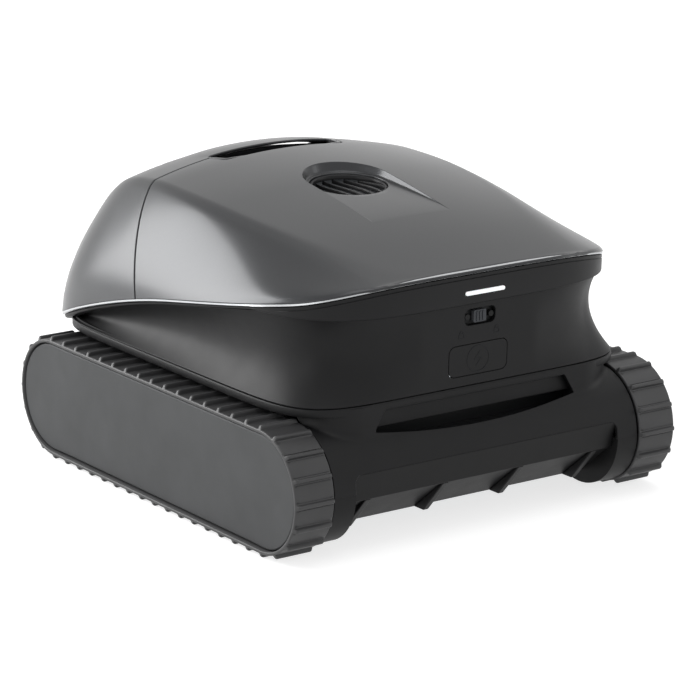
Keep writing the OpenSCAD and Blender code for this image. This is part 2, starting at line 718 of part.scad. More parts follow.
module lower_chassis() color("#303134") difference() {
    union() {
        difference() {
            mid_block(body_half_w, -tub_front, tub_rear, belly_z, rim_z);
            mid_block(tub_in_x, block_rear, tub_rear - wall, tub_floor, rim_z + cut);
            mid_block(tub_in_x, wall - tub_front, block_rear + cut, block_top, rim_z + cut);
        }
        both() block(tub_in_x - shelf_w, tub_in_x + cut, 2 - deck_front, deck_rear - 2, deck_z - deck_t - 6,
            deck_z - deck_t);
        both() difference() {
            block(tub_in_x - motor_len + 4, tub_in_x - 4, pinion_y - 8, pinion_y + 8, block_top - cut,
                pinion_z - motor_r + 4);
            xrod(motor_r + 0.1, tub_in_x - motor_len - cut, tub_in_x + cut, pinion_y, pinion_z);
        }
    }
    mid_block(tunnel_x, brush_y - tunnel_r, brush_y + tunnel_r, belly_z - cut, tunnel_top);
    mid_block(intake_half_w, intake_y, intake_y + intake_len, belly_z - cut, tub_floor + cut);
    both() xrod(motor_shaft_r + 1, tub_in_x - cut, body_half_w + cut, pinion_y, pinion_z);
    xrod(brush_pin_r, -tunnel_x - 10, -tunnel_x + cut, brush_y, brush_z);
    xrod(brush_pin_r, tunnel_x - cut, tunnel_x + 10, brush_y, brush_z);
    both() for (y = [-screw_y, screw_y]) for (z = screw_zs)
        xrod(screw_r + 0.1, body_half_w - 9, body_half_w + cut, y, z);
}

module body_seal() color("#1c1c1d") difference() {
    mid_block(body_half_w - 0.4, 0.4 - tub_front, tub_rear - 0.4, rim_z, ledge_z);
    mid_block(tub_in_x + 0.4, wall - tub_front - 0.4, tub_rear - wall + 0.4, rim_z - cut, ledge_z + cut);
}

// Plan of the front housing above the barrel, drawn in by d
module face_plan(d, z0, z1) {
    hx = body_half_w - face_corner_r;
    mid_block(hx, face_y + d, cut - tub_front, z0, z1);
    both() translate([hx, face_y + face_corner_r, z0]) cylinder(r = face_corner_r - d, h = z1 - z0);
}

// Everything ahead of the tilted plane of the front panel, moved back by d
panel_tilt = atan((sqrt(pow(barrel_r, 2) - pow(panel_top_z - axle_z, 2)) - panel_reach)
    / (panel_top_z - panel_low_z));
module ahead_of_panel(d) translate([0, -axle_y - panel_reach, panel_low_z]) rotate([panel_tilt, 0, 0])
    translate([-panel_half_w, d - 40, -60]) cube([2 * panel_half_w, 40, 60 + panel_height]);
panel_height = (panel_top_z - panel_low_z) / cos(panel_tilt);

// Crescent of the finger grip: the part of a large disc ahead of the upright face
module grip_plan(z0, z1) {
    r = (pow(grip_half_w, 2) + pow(grip_depth, 2)) / (2 * grip_depth);
    intersection() {
        translate([0, face_y - grip_depth + r, z0]) cylinder(r = r, h = z1 - z0, $fn = 360);
        mid_block(grip_half_w + 5, face_y - grip_depth - 1, face_y, z0 - cut, z1 + cut);
    }
}

module front_housing() color("#34363a") difference() {
    union() {
        difference() {
            union() {
                xrod(barrel_r, -body_half_w, body_half_w, -axle_y, axle_z);
                face_plan(0, axle_z, ledge_z);
            }
            xrod(barrel_r - wall, -tub_in_x, tub_in_x, -axle_y, axle_z);
            face_plan(wall, axle_z + 20, ledge_z - wall);
            mid_block(tub_in_x, -axle_y, 0, axle_z - cut, ledge_z - wall);
        }
        intersection() {
            union() {
                xrod(barrel_r - cut, -grip_half_w - wall, grip_half_w + wall, -axle_y, axle_z);
                mid_block(grip_half_w + wall, face_y + cut, -tub_front, axle_z, ledge_z);
            }
            mid_block(grip_half_w + wall, -axle_y - barrel_r, face_y + grip_reach + wall, grip_low_z - wall,
                ledge_z - cut);
        }
    }
    grip_plan(grip_low_z, grip_top_z);
    mid_block(grip_half_w, face_y - cut, face_y + grip_reach, grip_low_z, grip_top_z);
    mid_block(grip_half_w, face_y + wall, face_y + grip_reach, grip_low_z, ledge_z - wall - 2);
    ahead_of_panel(panel_t);
    mid_block(big, -big, big, -big, axle_z);
    mid_block(big, -tub_front, big, -big, big);
}

module front_underbody() color("#2a2b2e") difference() {
    union() {
        both() difference() {
            xrod(barrel_r, panel_half_w, body_half_w, -axle_y, axle_z);
            xrod(barrel_r - wall, panel_half_w + wall, tub_in_x, -axle_y, axle_z);
        }
        belly_front();
        mid_block(panel_half_w + cut, -tub_front - wall, -tub_front, belly_z, axle_z - seat_gap);
    }
    mid_block(big, -big, big, axle_z - seat_gap, big);
    mid_block(big, -tub_front, big, -big, big);
    ahead_of_panel(panel_t);
}

// Sloped wall under the panel and the plate that carries it on to the belly
module belly_front() {
    y1 = -axle_y - belly_reach;
    y0 = -axle_y - panel_reach + panel_t;
    translate([-panel_half_w - cut, 0, 0]) rotate([90, 0, 90]) linear_extrude(2 * (panel_half_w + cut))
        polygon([[y0, panel_low_z], [y1, belly_z], [-tub_front, belly_z], [-tub_front, belly_z + wall],
            [y1 + 2, belly_z + wall], [y0 + wall + 1.5, panel_low_z]]);
}

module front_panel() color("#26272a") difference() {
    intersection() {
        ahead_of_panel(panel_t);
        mid_block(panel_half_w - 0.1, -axle_y - barrel_r, -axle_y, panel_low_z, panel_top_z + panel_t);
    }
    ahead_of_panel(0);
}

module front_ribs() color("#3c3e42") for (k = [-1.5:1:1.5])
    translate([k * front_rib_pitch - front_rib_t / 2, 0, 0]) rotate([90, 0, 90]) linear_extrude(front_rib_t)
        polygon([[-axle_y - panel_reach, panel_low_z], [-axle_y - rib_toe_reach, belly_z],
            [-axle_y - belly_reach, belly_z], [-axle_y - panel_reach + panel_t, panel_low_z]]);

module rear_housing() color("#303134") difference() {
    intersection() {
        mid_block(body_half_w, tub_rear, tub_rear + rear_depth, belly_z + 4, ledge_z - ledge_drop - 1);
        xrod(56, -body_half_w, body_half_w, tub_rear + rear_depth - 56, axle_z + 6);
    }
    intersection() {
        mid_block(tub_in_x, tub_rear + wall, tub_rear + rear_depth - wall, 0, ledge_z - ledge_drop - 1 - wall);
        xrod(56 - wall, -tub_in_x, tub_in_x, tub_rear + rear_depth - 56, axle_z + 6);
    }
}

// ---------------------------------------------------------------- upper housing and brow

module upper_housing() color("#37393d") difference() {
    foot = lowered(waist_ring(0, 0), ledge_lip);
    outer = [for (s = [0, 0.1, 0.2, 0.35, 0.5, 0.65, 0.8, 0.92, 1]) waist_ring(s, 0)];
    inner = [for (s = [1, 0.7, 0.45, 0.2, 0]) waist_ring(s, wall)];
    mouth = waist_ring(0, mouth_in);
    loft(concat([foot], outer, inner, [lowered(waist_ring(0, wall), ledge_lip - wall),
        lowered(mouth, ledge_lip - wall), lowered(mouth, ledge_lip)]), closed = true);
    mid_block(switch_w / 2, -brim_lf, 0, switch_z - switch_h / 2, switch_z + switch_h / 2);
    mid_block(port_w / 2, -brim_lf, 0, port_z - port_h / 2, port_z + port_h / 2);
    mid_block(hinge_x1 + 20 + seat_gap, hinge_y - knuckle_r - foot_len - seat_gap, big,
        hinge_z - foot_h, big);
    mid_block(body_half_w, -tub_front, tub_rear + seat_gap, 0, ledge_z);
}

module brow_trim() color("#3d3f44") difference() {
    loft([brow_ring(0, brow_over), brow_ring(0.5, brow_over / 2), brow_ring(1, 0.6),
        brow_ring(1, brow_t + brow_over), brow_ring(0, brow_t + brow_over)], closed = true);
    mid_block(light_len / 2, -brim_lf, 0, light_z - light_h / 2, light_z + light_h / 2);
    mid_block(notch_half_w, notch_y, big, 0, big);
}

// ---------------------------------------------------------------- top shell

module top_cover() color("#4b4d52") difference() {
    shell_skin();
    behind_seam(-seam_gap / 2);
    recess_plan(0.2);
    slot_notch(0);
}

// Upright prism of the notch that the front slot makes in the top cover, drawn in by d
module slot_notch(d) {
    w = slot_half_w - slot_step - d;
    y = slot_y0 - notch_run + d;
    translate([0, 0, pocket_z]) linear_extrude(pocket_depth + 20)
        polygon([[-w, y], [w, y], [w + slot_step, slot_y0 + 4], [-w - slot_step, slot_y0 + 4]]);
}

module exhaust_recess() color("#46484d") difference() {
    intersection() {
        under_shell(0, floor_z - 12);
        recess_plan(0);
    }
    intersection() {
        recess_plan(-recess_wall);
        above_floor(0);
    }
    difference() {
        mid_block(big / 2, -big / 2, big / 2, 0, big);
        above_floor(-recess_t);
    }
    translate([0, pump_y, 0]) cylinder(r = outlet_r, h = big);
}

module exhaust_grille() color("#5a5c60") intersection() {
    translate([0, pump_y, 0]) cylinder(r = outlet_r - 0.2, h = big);
    difference() {
        above_floor(-7.5);
        above_floor(-1.5);
    }
    union() {
        translate([0, pump_y, 0]) difference() {
            cylinder(r = outlet_r, h = big);
            translate([0, 0, -cut]) cylinder(r = outlet_r - 3, h = big + 2 * cut);
        }
        for (k = [0:bar_count - 1]) {
            x = (k - (bar_count - 1) / 2) * (2 * outlet_r / (bar_count + 1));
            block(x - grille_t / 2, x + grille_t / 2, pump_y - outlet_r, pump_y + outlet_r, 0, big);
        }
    }
}

// Crown of the strap and the ears of skin that carry it beside the front slot
module handle_strap() color("#4b4d52") {
    reach = slot_half_w + slot_step - seat_gap;
    loft([for (k = [-8:8]) let (x = reach * k / 8, rise = strap_rise * (1 - pow(k / 8, 4)),
            t0 = shell_z(x, strap_y0), t1 = shell_z(x, strap_y1), d = strap_w / 5)
        [[x, strap_y0, t0 - skin], [x, strap_y1, t1 - skin], [x, strap_y1, t1 - 0.2],
            [x, strap_y1 - d, mix(t1, t0, 0.2) + rise], [x, strap_y0 + d, mix(t0, t1, 0.2) + rise],
            [x, strap_y0, t0 - 0.2]]]);
    intersection() {
        shell_skin();
        behind_seam(seam_gap / 2);
        both() block(slot_half_w, reach, 0, strap_y0 + cut, pocket_z, big);
    }
}
module rear_lid() color("#4b4d52") {
    difference() {
        intersection() {
            shell_skin();
            behind_seam(seam_gap / 2);
        }
        mid_block(slot_half_w + slot_step, 0, slot_y1, pocket_z, big);
        mid_block(notch_half_w - 30, hinge_y - knuckle_r - 2, big, 0, hinge_z + knuckle_r + 1);
    }
    both() difference() {
        union() {
            xrod(knuckle_r, hinge_x0 + knuckle_gap, hinge_x1 - knuckle_gap, hinge_y, hinge_z);
            intersection() {
                block(hinge_x0 + knuckle_gap, hinge_x1 - knuckle_gap, hinge_y - knuckle_r, big,
                    hinge_z, hinge_z + 24);
                under_shell(skin - 0.2, hinge_z - 1);
            }
        }
        xrod(hinge_pin_r + running_gap, hinge_x0, hinge_x1, hinge_y, hinge_z);
    }
}

// Bar that stiffens the strap between the two hand slots, following the underside of the roof
module handle_bar() color("#232426") {
    reach = pocket_x - pocket_wall - 0.2;
    loft([for (k = [0:12]) let (x = mix(-reach, reach, k / 12),
            t0 = shell_z(x, bar_y0) - skin - bar_gap, t1 = shell_z(x, bar_y1) - skin - bar_gap)
        [[x, bar_y0, t0], [x, bar_y0, t0 - bar_h + 3], [x, bar_y0 + 4, t0 - bar_h],
            [x, bar_y1 - 4, t1 - bar_h], [x, bar_y1, t1 - bar_h + 3], [x, bar_y1, t1]]]);
}

module handle_pocket() color("#1f2022") intersection() {
    under_shell(skin + 1, pocket_z - cut);
    difference() {
        union() {
            mid_block(pocket_x, pocket_y0, slot_y1 + 5, pocket_z, big);
            intersection() {
                slot_notch(1.5);
                mid_block(slot_half_w, 0, pocket_y0 + cut, pocket_z, big);
            }
        }
        mid_block(pocket_x - pocket_wall, pocket_y0 + pocket_wall, slot_y1 + 5 - pocket_wall,
            pocket_z + pocket_wall, big);
        intersection() {
            slot_notch(1.5 + pocket_wall);
            mid_block(slot_half_w, 0, pocket_y0 + pocket_wall + cut, pocket_z + pocket_wall, big);
        }
    }
}

module lid_latch() color("#9a9da1") block(latch_x - latch_w, latch_x, pocket_y0 + pocket_wall + running_gap,
    pocket_y0 + pocket_wall + 6, ledge_z + roof_rise - latch_drop, ledge_z + roof_rise - latch_drop + latch_h);

module hinge_base() color("#2c2d30") difference() {
    union() {
        for (x = [[-hinge_x1 - 20, -hinge_x1], [-hinge_x0, hinge_x0], [hinge_x1, hinge_x1 + 20]]) {
            xrod(knuckle_r, x[0], x[1], hinge_y, hinge_z);
            block(x[0], x[1], hinge_y - knuckle_r - foot_len, hinge_y, hinge_z - knuckle_r, hinge_z + 1);
        }
        mid_block(hinge_x1 + 20, hinge_y - knuckle_r - foot_len, hinge_y - knuckle_r - 1, hinge_z - foot_h,
            hinge_z + 1);
    }
    xrod(hinge_pin_r + running_gap, -big, big, hinge_y, hinge_z);
}
module hinge_pins() color("#b4b8bd")
    xrod(hinge_pin_r, -hinge_x1 - 20, hinge_x1 + 20, hinge_y, hinge_z);

// ---------------------------------------------------------------- pump

module pump_deck() color("#5b5e63") difference() {
    mid_block(tub_in_x - seat_gap, -deck_front, deck_rear, deck_z - deck_t, deck_z);
    both() translate([tub_in_x - 25, -20, deck_z - deck_t - cut]) cylinder(r = 8, h = deck_t + 2 * cut);
}
module pump_motor() color("#8d9196") translate([0, pump_y, deck_z]) difference() {
    cylinder(r = pump_r, h = pump_h);
    translate([0, 0, 12]) cylinder(r = pump_shaft_r + running_gap, h = pump_h);
}
module pump_shaft() color("#c4c8cc") translate([0, pump_y, deck_z + 14])
    cylinder(r = pump_shaft_r, h = impeller_z + impeller_h - deck_z - 14);
module impeller() color("#d9d6cc") translate([0, pump_y, impeller_z]) {
    difference() {
        cylinder(r = hub_r, h = impeller_h);
        translate([0, 0, -cut]) cylinder(r = pump_shaft_r, h = impeller_h + 2 * cut);
    }
    for (k = [0:blade_count - 1]) rotate(360 * k / blade_count) translate([0, 0, impeller_h / 2])
        rotate([35, 0, 0]) intersection() {
            translate([hub_r - 1, -1, -impeller_h / 2]) cube([duct_r - blade_gap - hub_r - 1, 2, impeller_h]);
            rotate([-35, 0, 0]) translate([0, 0, -impeller_h / 2 + 1]) cylinder(r = duct_r - blade_gap,
                h = impeller_h - 2);
        }
}
module pump_duct() color("#a4a7ab") difference() {
    translate([0, pump_y, deck_z]) cylinder(r = duct_r + duct_wall, h = big);
    translate([0, pump_y, deck_z - cut]) cylinder(r = duct_r, h = big);
    above_floor(-recess_t - seat_gap);
    for (a = [45, 135, 225, 315]) translate([0, pump_y, deck_z + 8]) rotate(a)
        translate([0, -14, 0]) cube([duct_r + 20, 28, pump_h - 10]);
}

// ---------------------------------------------------------------- brush, intake and basket

module brush_tube() color("#5f6368") difference() {
    xrod(brush_tube_r, -brush_half_len, brush_half_len, brush_y, brush_z);
    xrod(brush_tube_r - brush_wall, -brush_half_len - cut, brush_half_len - 14, brush_y, brush_z);
    xrod(brush_pin_r + running_gap, brush_half_len - 15, brush_half_len + cut, brush_y, brush_z);
}
module brush_blades() color("#2f6f8f") difference() {
    union() {
        xrod(brush_tube_r + 2, -brush_half_len + 4, brush_half_len - 4, brush_y, brush_z);
        for (k = [0:brush_blades_n - 1]) translate([0, brush_y, brush_z])
            rotate([360 * (k + 0.5) / brush_blades_n, 0, 0])
            block(4 - brush_half_len, brush_half_len - 4, -1, 1, 0, brush_r);
    }
    xrod(brush_tube_r, -brush_half_len, brush_half_len, brush_y, brush_z);
}
module brush_motor() color("#8d9196") {
    xrod(brush_tube_r - brush_wall - 0.6, 6 - brush_half_len, 50 - brush_half_len, brush_y, brush_z);
    xrod(brush_tube_r - brush_wall - running_gap, 6 - brush_half_len, 14 - brush_half_len, brush_y, brush_z);
    xrod(brush_pin_r, -tunnel_x - 10, 10 - brush_half_len, brush_y, brush_z);
}
module brush_pin() color("#b4b8bd") xrod(brush_pin_r, brush_half_len - 12, tunnel_x + 10, brush_y, brush_z);

module intake_throat() color("#6a6d72") difference() {
    union() {
        mid_block(intake_half_w + throat_wall + 1, throat_y0, throat_y1, tub_floor, battery_z);
        both() block(intake_half_w, intake_half_w + throat_wall + 1, throat_y1 - cut, flap_y + flap_pin_r + flap_wall,
            flap_z - flap_pin_r - flap_wall, flap_z + flap_pin_r + flap_wall);
    }
    xrod(flap_pin_r + running_gap, -intake_half_w - 2, intake_half_w + 2, flap_y, flap_z);
    mid_block(intake_half_w + 1, throat_y0 + throat_wall, throat_y1 + cut, tub_floor + throat_wall,
        battery_z - throat_wall);
    mid_block(intake_half_w, intake_y, intake_y + intake_len, tub_floor - cut, tub_floor + throat_wall + cut);
}
module inlet_flap() color("#2f6f8f") {
    mid_block(intake_half_w - 1, flap_y - flap_pin_r, flap_y - flap_pin_r + flap_t, tub_floor + throat_wall + 1,
        flap_z);
    xrod(flap_pin_r, 0.5 - intake_half_w - 2, intake_half_w + 2 - 0.5, flap_y, flap_z);
}

// Slanted box from the tub floor towards the lid's opening
module slanted(hx, y0, y1, z0, z1) {
    k = tan(seam_lean);
    translate([-hx, 0, 0]) rotate([90, 0, 90]) linear_extrude(2 * hx)
        polygon([[y0 + k * (z0 - basket_z), z0], [y1 + k * (z0 - basket_z), z0],
            [y1 + k * (z1 - basket_z), z1], [y0 + k * (z1 - basket_z), z1]]);
}
module filter_basket() color("#3b6f86") difference() {
    z1 = basket_z + basket_h;
    y1 = basket_y + basket_len;
    slanted(basket_half_w, basket_y, y1, basket_z, z1);
    slanted(basket_half_w - basket_wall, basket_y + basket_wall, y1 - basket_wall, basket_z + basket_wall,
        z1 + cut);
    mid_block(intake_half_w + 2, basket_y - cut, basket_y + 40, basket_z + basket_wall, battery_z + 4);
    both() for (k = [0:3]) translate([basket_half_w / 2, 0, basket_z + 62 + 24 * k])
        slanted_window(basket_half_w / 2 - 10, 18, k);
}
module slanted_window(hx, h, k) {
    lift = 62 + 24 * k;
    y_mid = basket_y + basket_shift * lift / basket_h;
    translate([-hx, y_mid - 30, 0]) cube([2 * hx, basket_len + 70, h]);
}
module basket_bail() color("#4d4f53") {
    z1 = basket_z + basket_h;
    y = basket_y + basket_shift + basket_len / 2;
    mid_block(basket_half_w - basket_wall - 0.3, y - 4, y + 4, z1 - 8, z1 - 3);
    both() block(basket_half_w - basket_wall - 4, basket_half_w - basket_wall - 0.3, y - 4, y + 4, z1 - 24, z1 - 3);
}

// ---------------------------------------------------------------- battery and electronics

module battery_pack() color("#44474b") mid_block(battery_half_w, throat_y0 + 4, throat_y1 - 4, battery_z,
    battery_z + battery_h - 2);
module float_blocks() color("#d7d3c6") both() block(duct_r + duct_wall + float_gap, tub_in_x - float_in,
    4 - deck_front, deck_rear - 8, deck_z, deck_z + float_h);
module control_box() color("#2d5f49") mid_block(box_half_w, face_y + box_back, face_y + box_back + box_depth,
    ledge_z, ledge_z + box_h);

// ---------------------------------------------------------------- front controls

brow_face = -brim_lf + brow_over / 2;
board_y = -brim_lf + brow_t + brow_over + 0.1;
waist_face = -brim_lf + 2 * brow_over + seat_gap;
module status_light() color("#f4f6f8") mid_block(light_len / 2 - 0.2, brow_face - 0.6, brow_face + 7,
    light_z - light_h / 2 + 0.2, light_z + light_h / 2 - 0.2);
module light_board() color("#2f6b43") mid_block(light_len / 2 + 6, board_y, board_y + 1.6, light_z - 7,
    light_z + 7);
module switch_bezel() color("#141415") difference() {
    mid_block(switch_w / 2 - 0.2, waist_face + 0.8, waist_face + 8, switch_z - switch_h / 2 + 0.2,
        switch_z + switch_h / 2 - 0.2);
    mid_block(switch_w / 2 - 1.5, waist_face, waist_face + 5, switch_z - switch_h / 2 + 1.6,
        switch_z + switch_h / 2 - 1.6);
}
module switch_slider() color("#4c4e52") mid_block(slider_w / 2, waist_face + 0.6, waist_face + 4.7,
    switch_z - switch_h / 2 + 1.9, switch_z + switch_h / 2 - 1.9);

port_face = -axle_y - ledge_front - 0.5;
port_pin_x = -port_w / 2 + port_fold;
port_pin_y = port_face + port_t / 2 + 0.2;
module charge_cover() color("#37393d") difference() {
    intersection() {
        mid_block(port_w / 2 - port_gap, port_face, port_face + port_t, port_z - port_h / 2 + port_gap,
            port_z + port_h / 2 - port_gap);
        union() {
            translate([port_pin_x, port_pin_y, 0]) cylinder(r = port_fold - port_gap, h = big);
            block(port_pin_x, big, -big, 0, 0, big);
        }
    }
    translate([port_pin_x, port_pin_y, 0]) cylinder(r = port_pin_r + running_gap, h = big);
}
module charge_pin() color("#b4b8bd") translate([port_pin_x, port_pin_y, port_z - port_h / 2 - 2])
    cylinder(r = port_pin_r, h = port_h + 4);
module charge_socket() color("#1b1b1c") difference() {
    mid_block(port_w / 2 - port_gap, port_face + port_t + 0.9, port_face + port_t + 11,
        port_z - port_h / 2 + port_gap, port_z + port_h / 2 - port_gap);
    yrod(socket_r, port_face, port_face + port_t + 8, 0, port_z);
}
module charge_contacts() color("#d8b45a") for (x = [-1, 0, 1])
    yrod(1.1, port_face + port_t + 3, port_face + port_t + 8, x * socket_r * 0.5, port_z);

// ---------------------------------------------------------------- choice of node

lower_chassis();
front_housing();
front_underbody();
front_panel();
front_ribs();
rear_housing();
body_seal();
upper_housing();
brow_trim();
top_cover();
exhaust_recess();
exhaust_grille();
status_light();
light_board();
switch_bezel();
switch_slider();
charge_cover();
charge_pin();
charge_socket();
charge_contacts();
rear_lid();
handle_strap();
handle_bar();
handle_pocket();
lid_latch();
hinge_base();
hinge_pins();
pump_deck();
pump_motor();
pump_shaft();
impeller();
pump_duct();
intake_throat();
inlet_flap();
filter_basket();
basket_bail();
battery_pack();
control_box();
float_blocks();
brush_tube();
brush_blades();
brush_motor();
brush_pin();
drive_motors();
pinion_left();
pinion_right();
gear_left();
gear_right();
wheel_front_left();
wheel_front_right();
wheel_rear_left();
wheel_rear_right();
wheel_axles();
belt_left();
belt_right();
side_covers();
track_frames();
belt_rails();
frame_screws();
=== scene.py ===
"""Tracked pool cleaning robot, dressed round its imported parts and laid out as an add-on.

Lengths are worked out in millimetres in the frame of the parts (+Z up, front at -Y)
and turned into metres when a mesh is made.
"""

import json
import math

import bmesh
import bpy
import numpy as np
from bpy.props import FloatProperty, FloatVectorProperty, PointerProperty
from bpy.types import Operator, Panel, PropertyGroup
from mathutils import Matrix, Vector


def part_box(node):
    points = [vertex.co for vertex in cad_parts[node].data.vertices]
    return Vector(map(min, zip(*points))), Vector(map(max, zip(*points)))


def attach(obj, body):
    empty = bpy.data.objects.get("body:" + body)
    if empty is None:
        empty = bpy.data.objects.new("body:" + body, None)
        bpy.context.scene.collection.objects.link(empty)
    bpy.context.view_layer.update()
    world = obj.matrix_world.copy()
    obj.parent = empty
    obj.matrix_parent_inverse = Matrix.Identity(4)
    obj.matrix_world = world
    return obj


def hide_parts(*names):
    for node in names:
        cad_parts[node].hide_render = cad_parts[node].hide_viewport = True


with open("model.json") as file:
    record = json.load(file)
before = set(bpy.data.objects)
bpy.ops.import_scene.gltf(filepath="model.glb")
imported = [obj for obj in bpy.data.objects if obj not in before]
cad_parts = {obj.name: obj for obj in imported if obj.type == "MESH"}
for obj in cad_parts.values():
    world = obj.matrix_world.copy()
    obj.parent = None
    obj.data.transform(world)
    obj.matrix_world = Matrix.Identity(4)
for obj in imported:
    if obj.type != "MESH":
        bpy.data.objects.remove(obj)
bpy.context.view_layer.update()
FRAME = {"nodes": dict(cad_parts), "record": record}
NODES = FRAME["nodes"]
MM = 0.001

bl_info = {
    "name": "Pool Cleaner",
    "version": (1, 0, 0),
    "blender": (4, 5, 0),
    "location": "View3D > Sidebar > Pool Cleaner",
    "description": "Builds a tracked pool cleaning robot around its packed parts",
    "category": "Object",
}


def box_mm(node):
    low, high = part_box(node)
    return np.array(low) / MM, np.array(high) / MM


# ---------------------------------------------------------------- sizes taken from the parts

BELT_LOW, BELT_HIGH = box_mm("belt_right")
WHEEL_LOW, WHEEL_HIGH = box_mm("wheel_rear_right")
SIDE_LOW, SIDE_HIGH = box_mm("side_covers")
GRILLE_LOW, GRILLE_HIGH = box_mm("exhaust_grille")

LEDGE_Z = box_mm("body_seal")[1][2]
BODY_HALF_W, TUB_REAR = box_mm("lower_chassis")[1][:2]
AXLE_Y = (WHEEL_LOW[1] + WHEEL_HIGH[1]) / 2
AXLE_Z = (WHEEL_LOW[2] + WHEEL_HIGH[2]) / 2

# Glossy shell: brim, roof and shut line
BRIM_HALF_W = BODY_HALF_W + 19
BRIM_FRONT = AXLE_Y + 44
BRIM_REAR = TUB_REAR + 42.5
BRIM_POWER = 4.06
REAR_POWER = 8
BRIM_RISE = 65.6
ROOF_RISE = 159.7
DOME_Y = 20
CREASE_SOFT = 4.4
TAIL_SOFT = 14
TAIL_GAIN = 10.97
TAIL_POWER = 0.606
SHELL_T = 2.4
SEAM_Y = 56
SEAM_LEAN = math.radians(26.5)

# Handle, hand slots and lid
SLOT_HALF_W = 70
SLOT_STEP = 6
SLOT_FRONT = 86.7
STRAP_LIFT = 1.2
STRAP_FRONT = SLOT_FRONT + 27
STRAP_REAR = STRAP_FRONT + 40
SLOT_REAR = STRAP_REAR + 24
NOTCH_HALF_W = SLOT_HALF_W - SLOT_STEP
NOTCH_FLARE = 0.25
LIP_W = 2.8
LIP_END = 66.5
KNUCKLE_R = 4.9
KNUCKLE_ARM = 24
KNUCKLE_X = (50.5, 79.5)

# Exhaust
PUMP_Y = (GRILLE_LOW[1] + GRILLE_HIGH[1]) / 2
OUTLET_R = (GRILLE_HIGH[0] - GRILLE_LOW[0]) / 2 + 0.2
RECESS_R = 41
RECESS_RUN = 95
BLADES = 6

# Ledge, waist and brow
LEDGE_HALF_W = BODY_HALF_W + 17
LEDGE_FRONT = AXLE_Y + 32.5
LEDGE_POWER = 7
LEDGE_REAR = AXLE_Y + 40.5
LEDGE_LIP = 8
LEDGE_DROP = 14
LEDGE_DROP_Y = 186
WAIST_DEPTH = 13
BROW_POWER = 4.4
BROW_RISE = 81
BROW_OVER = 3.6
HOUSING_T = 3

# Switch and charging cover
SWITCH_W = 32
SWITCH_H = 14.5
SWITCH_Z = LEDGE_Z + 68
SYMBOLS_Z = LEDGE_Z + 54.3
CHARGE_HALF_W = 30.4
CHARGE_HALF_H = 13.4
CHARGE_CORNER_R = 6.2
CHARGE_GAP = 1

# Front housing
BARREL_R = 52
FACE_Y = -AXLE_Y - 31.5
FACE_CORNER_R = 44
FACE_FILLET = 12
GRIP_HALF_W = 106
GRIP_TOP = 119.2
PANEL_HALF_W = 138.9
PANEL_TOP = 73.3

# Tracks
COVER_BACK = 194
COVER_ROLL = 1.8
BELT_T = 3.1
LUG_H = 3.5
LUG_COUNT = 48

ROOF_Y = np.array([-BRIM_FRONT, -110, -10, 60, 110, 160, BRIM_REAR])
ROOF_H = np.array([109, 134.4, 152.1, ROOF_RISE - 0.5, ROOF_RISE, ROOF_RISE - 10.1,
                   ROOF_RISE - 56.2])
CREASE_Y = np.array([-BRIM_FRONT, -160, -60, 20, 100, BRIM_REAR])
CREASE_SHARE = np.array([0.59, 0.622, 0.713, 0.746, 0.735, 0.69])
FLANK_Y = np.array([-BRIM_FRONT, 0, BRIM_REAR])
FLANK_POWER = np.array([0.52, 0.887, 0.536])
FLANK_BULGE = np.array([-0.32, 0.49, -0.1])
COVER_CREASE_Y = [-215, -192, -166, -132, -81, -28, 7, 63, 120, 187, 215]
COVER_CREASE_Z = [32, 36.2, 39.7, 42.4, 46.2, 45.9, 44.8, 41.4, 37.4, 30, 26]


# ---------------------------------------------------------------- outlines and surfaces


def mix(a, b, t):
    return a + (b - a) * t


def smooth(a, b, v):
    t = np.clip((v - a) / (b - a), 0, 1)
    return t * t * (3 - 2 * t)


def soft_min(a, b, k):
    h = np.clip(0.5 + 0.5 * (b - a) / k, 0, 1)
    return mix(b, a, h) - k * h * (1 - h)


def along(knots, values, t):
    """Smooth curve through knots and their values."""
    last = len(knots) - 1
    before = np.maximum(np.arange(last + 1) - 1, 0)
    after = np.minimum(np.arange(last + 1) + 1, last)
    slope = (values[after] - values[before]) / (knots[after] - knots[before])
    t = np.clip(t, knots[0], knots[-1])
    i = np.clip(np.searchsorted(knots, t, side="right") - 1, 0, last - 1)
    h = knots[i + 1] - knots[i]
    s = (t - knots[i]) / h
    return (
        (1 + 2 * s) * (1 - s) ** 2 * values[i]
        + s * (1 - s) ** 2 * h * slope[i]
        + s * s * (3 - 2 * s) * values[i + 1]
        + s * s * (s - 1) * h * slope[i + 1]
    )


def outline(angle, half_w, front, rear, power_front, power_rear):
    """Distance of a rounded plan outline from the middle in direction angle."""
    ahead = np.sin(angle) < 0
    length, n = np.where(ahead, front, rear), np.where(ahead, power_front, power_rear)
    across, lengthwise = np.abs(np.cos(angle)) / half_w, np.abs(np.sin(angle)) / length
    return (across ** n + lengthwise ** n) ** (-1 / n)


def brim_outline(angle, power=BRIM_POWER):
    return outline(angle, BRIM_HALF_W, BRIM_FRONT, BRIM_REAR, power, REAR_POWER)


def ledge_outline(angle):
    return outline(angle, LEDGE_HALF_W, LEDGE_FRONT, LEDGE_REAR, LEDGE_POWER, REAR_POWER)


def half_w(y):
    length, n = np.where(y < 0, BRIM_FRONT, BRIM_REAR), np.where(y < 0, BRIM_POWER, REAR_POWER)
    return BRIM_HALF_W * np.clip(1 - (np.abs(y) / length) ** n, 0, 1) ** (1 / n)


def half_l(x):
    return BRIM_REAR * np.clip(1 - (np.abs(x) / BRIM_HALF_W) ** REAR_POWER, 0, 1) ** (1 / REAR_POWER)


def brim_z(y):
    return (
        LEDGE_Z + BRIM_RISE - 0.178 * y - 0.0005 * np.maximum(0, y) ** 2
        + 0.0029 * np.maximum(0, -161.6 - y) ** 2
    )


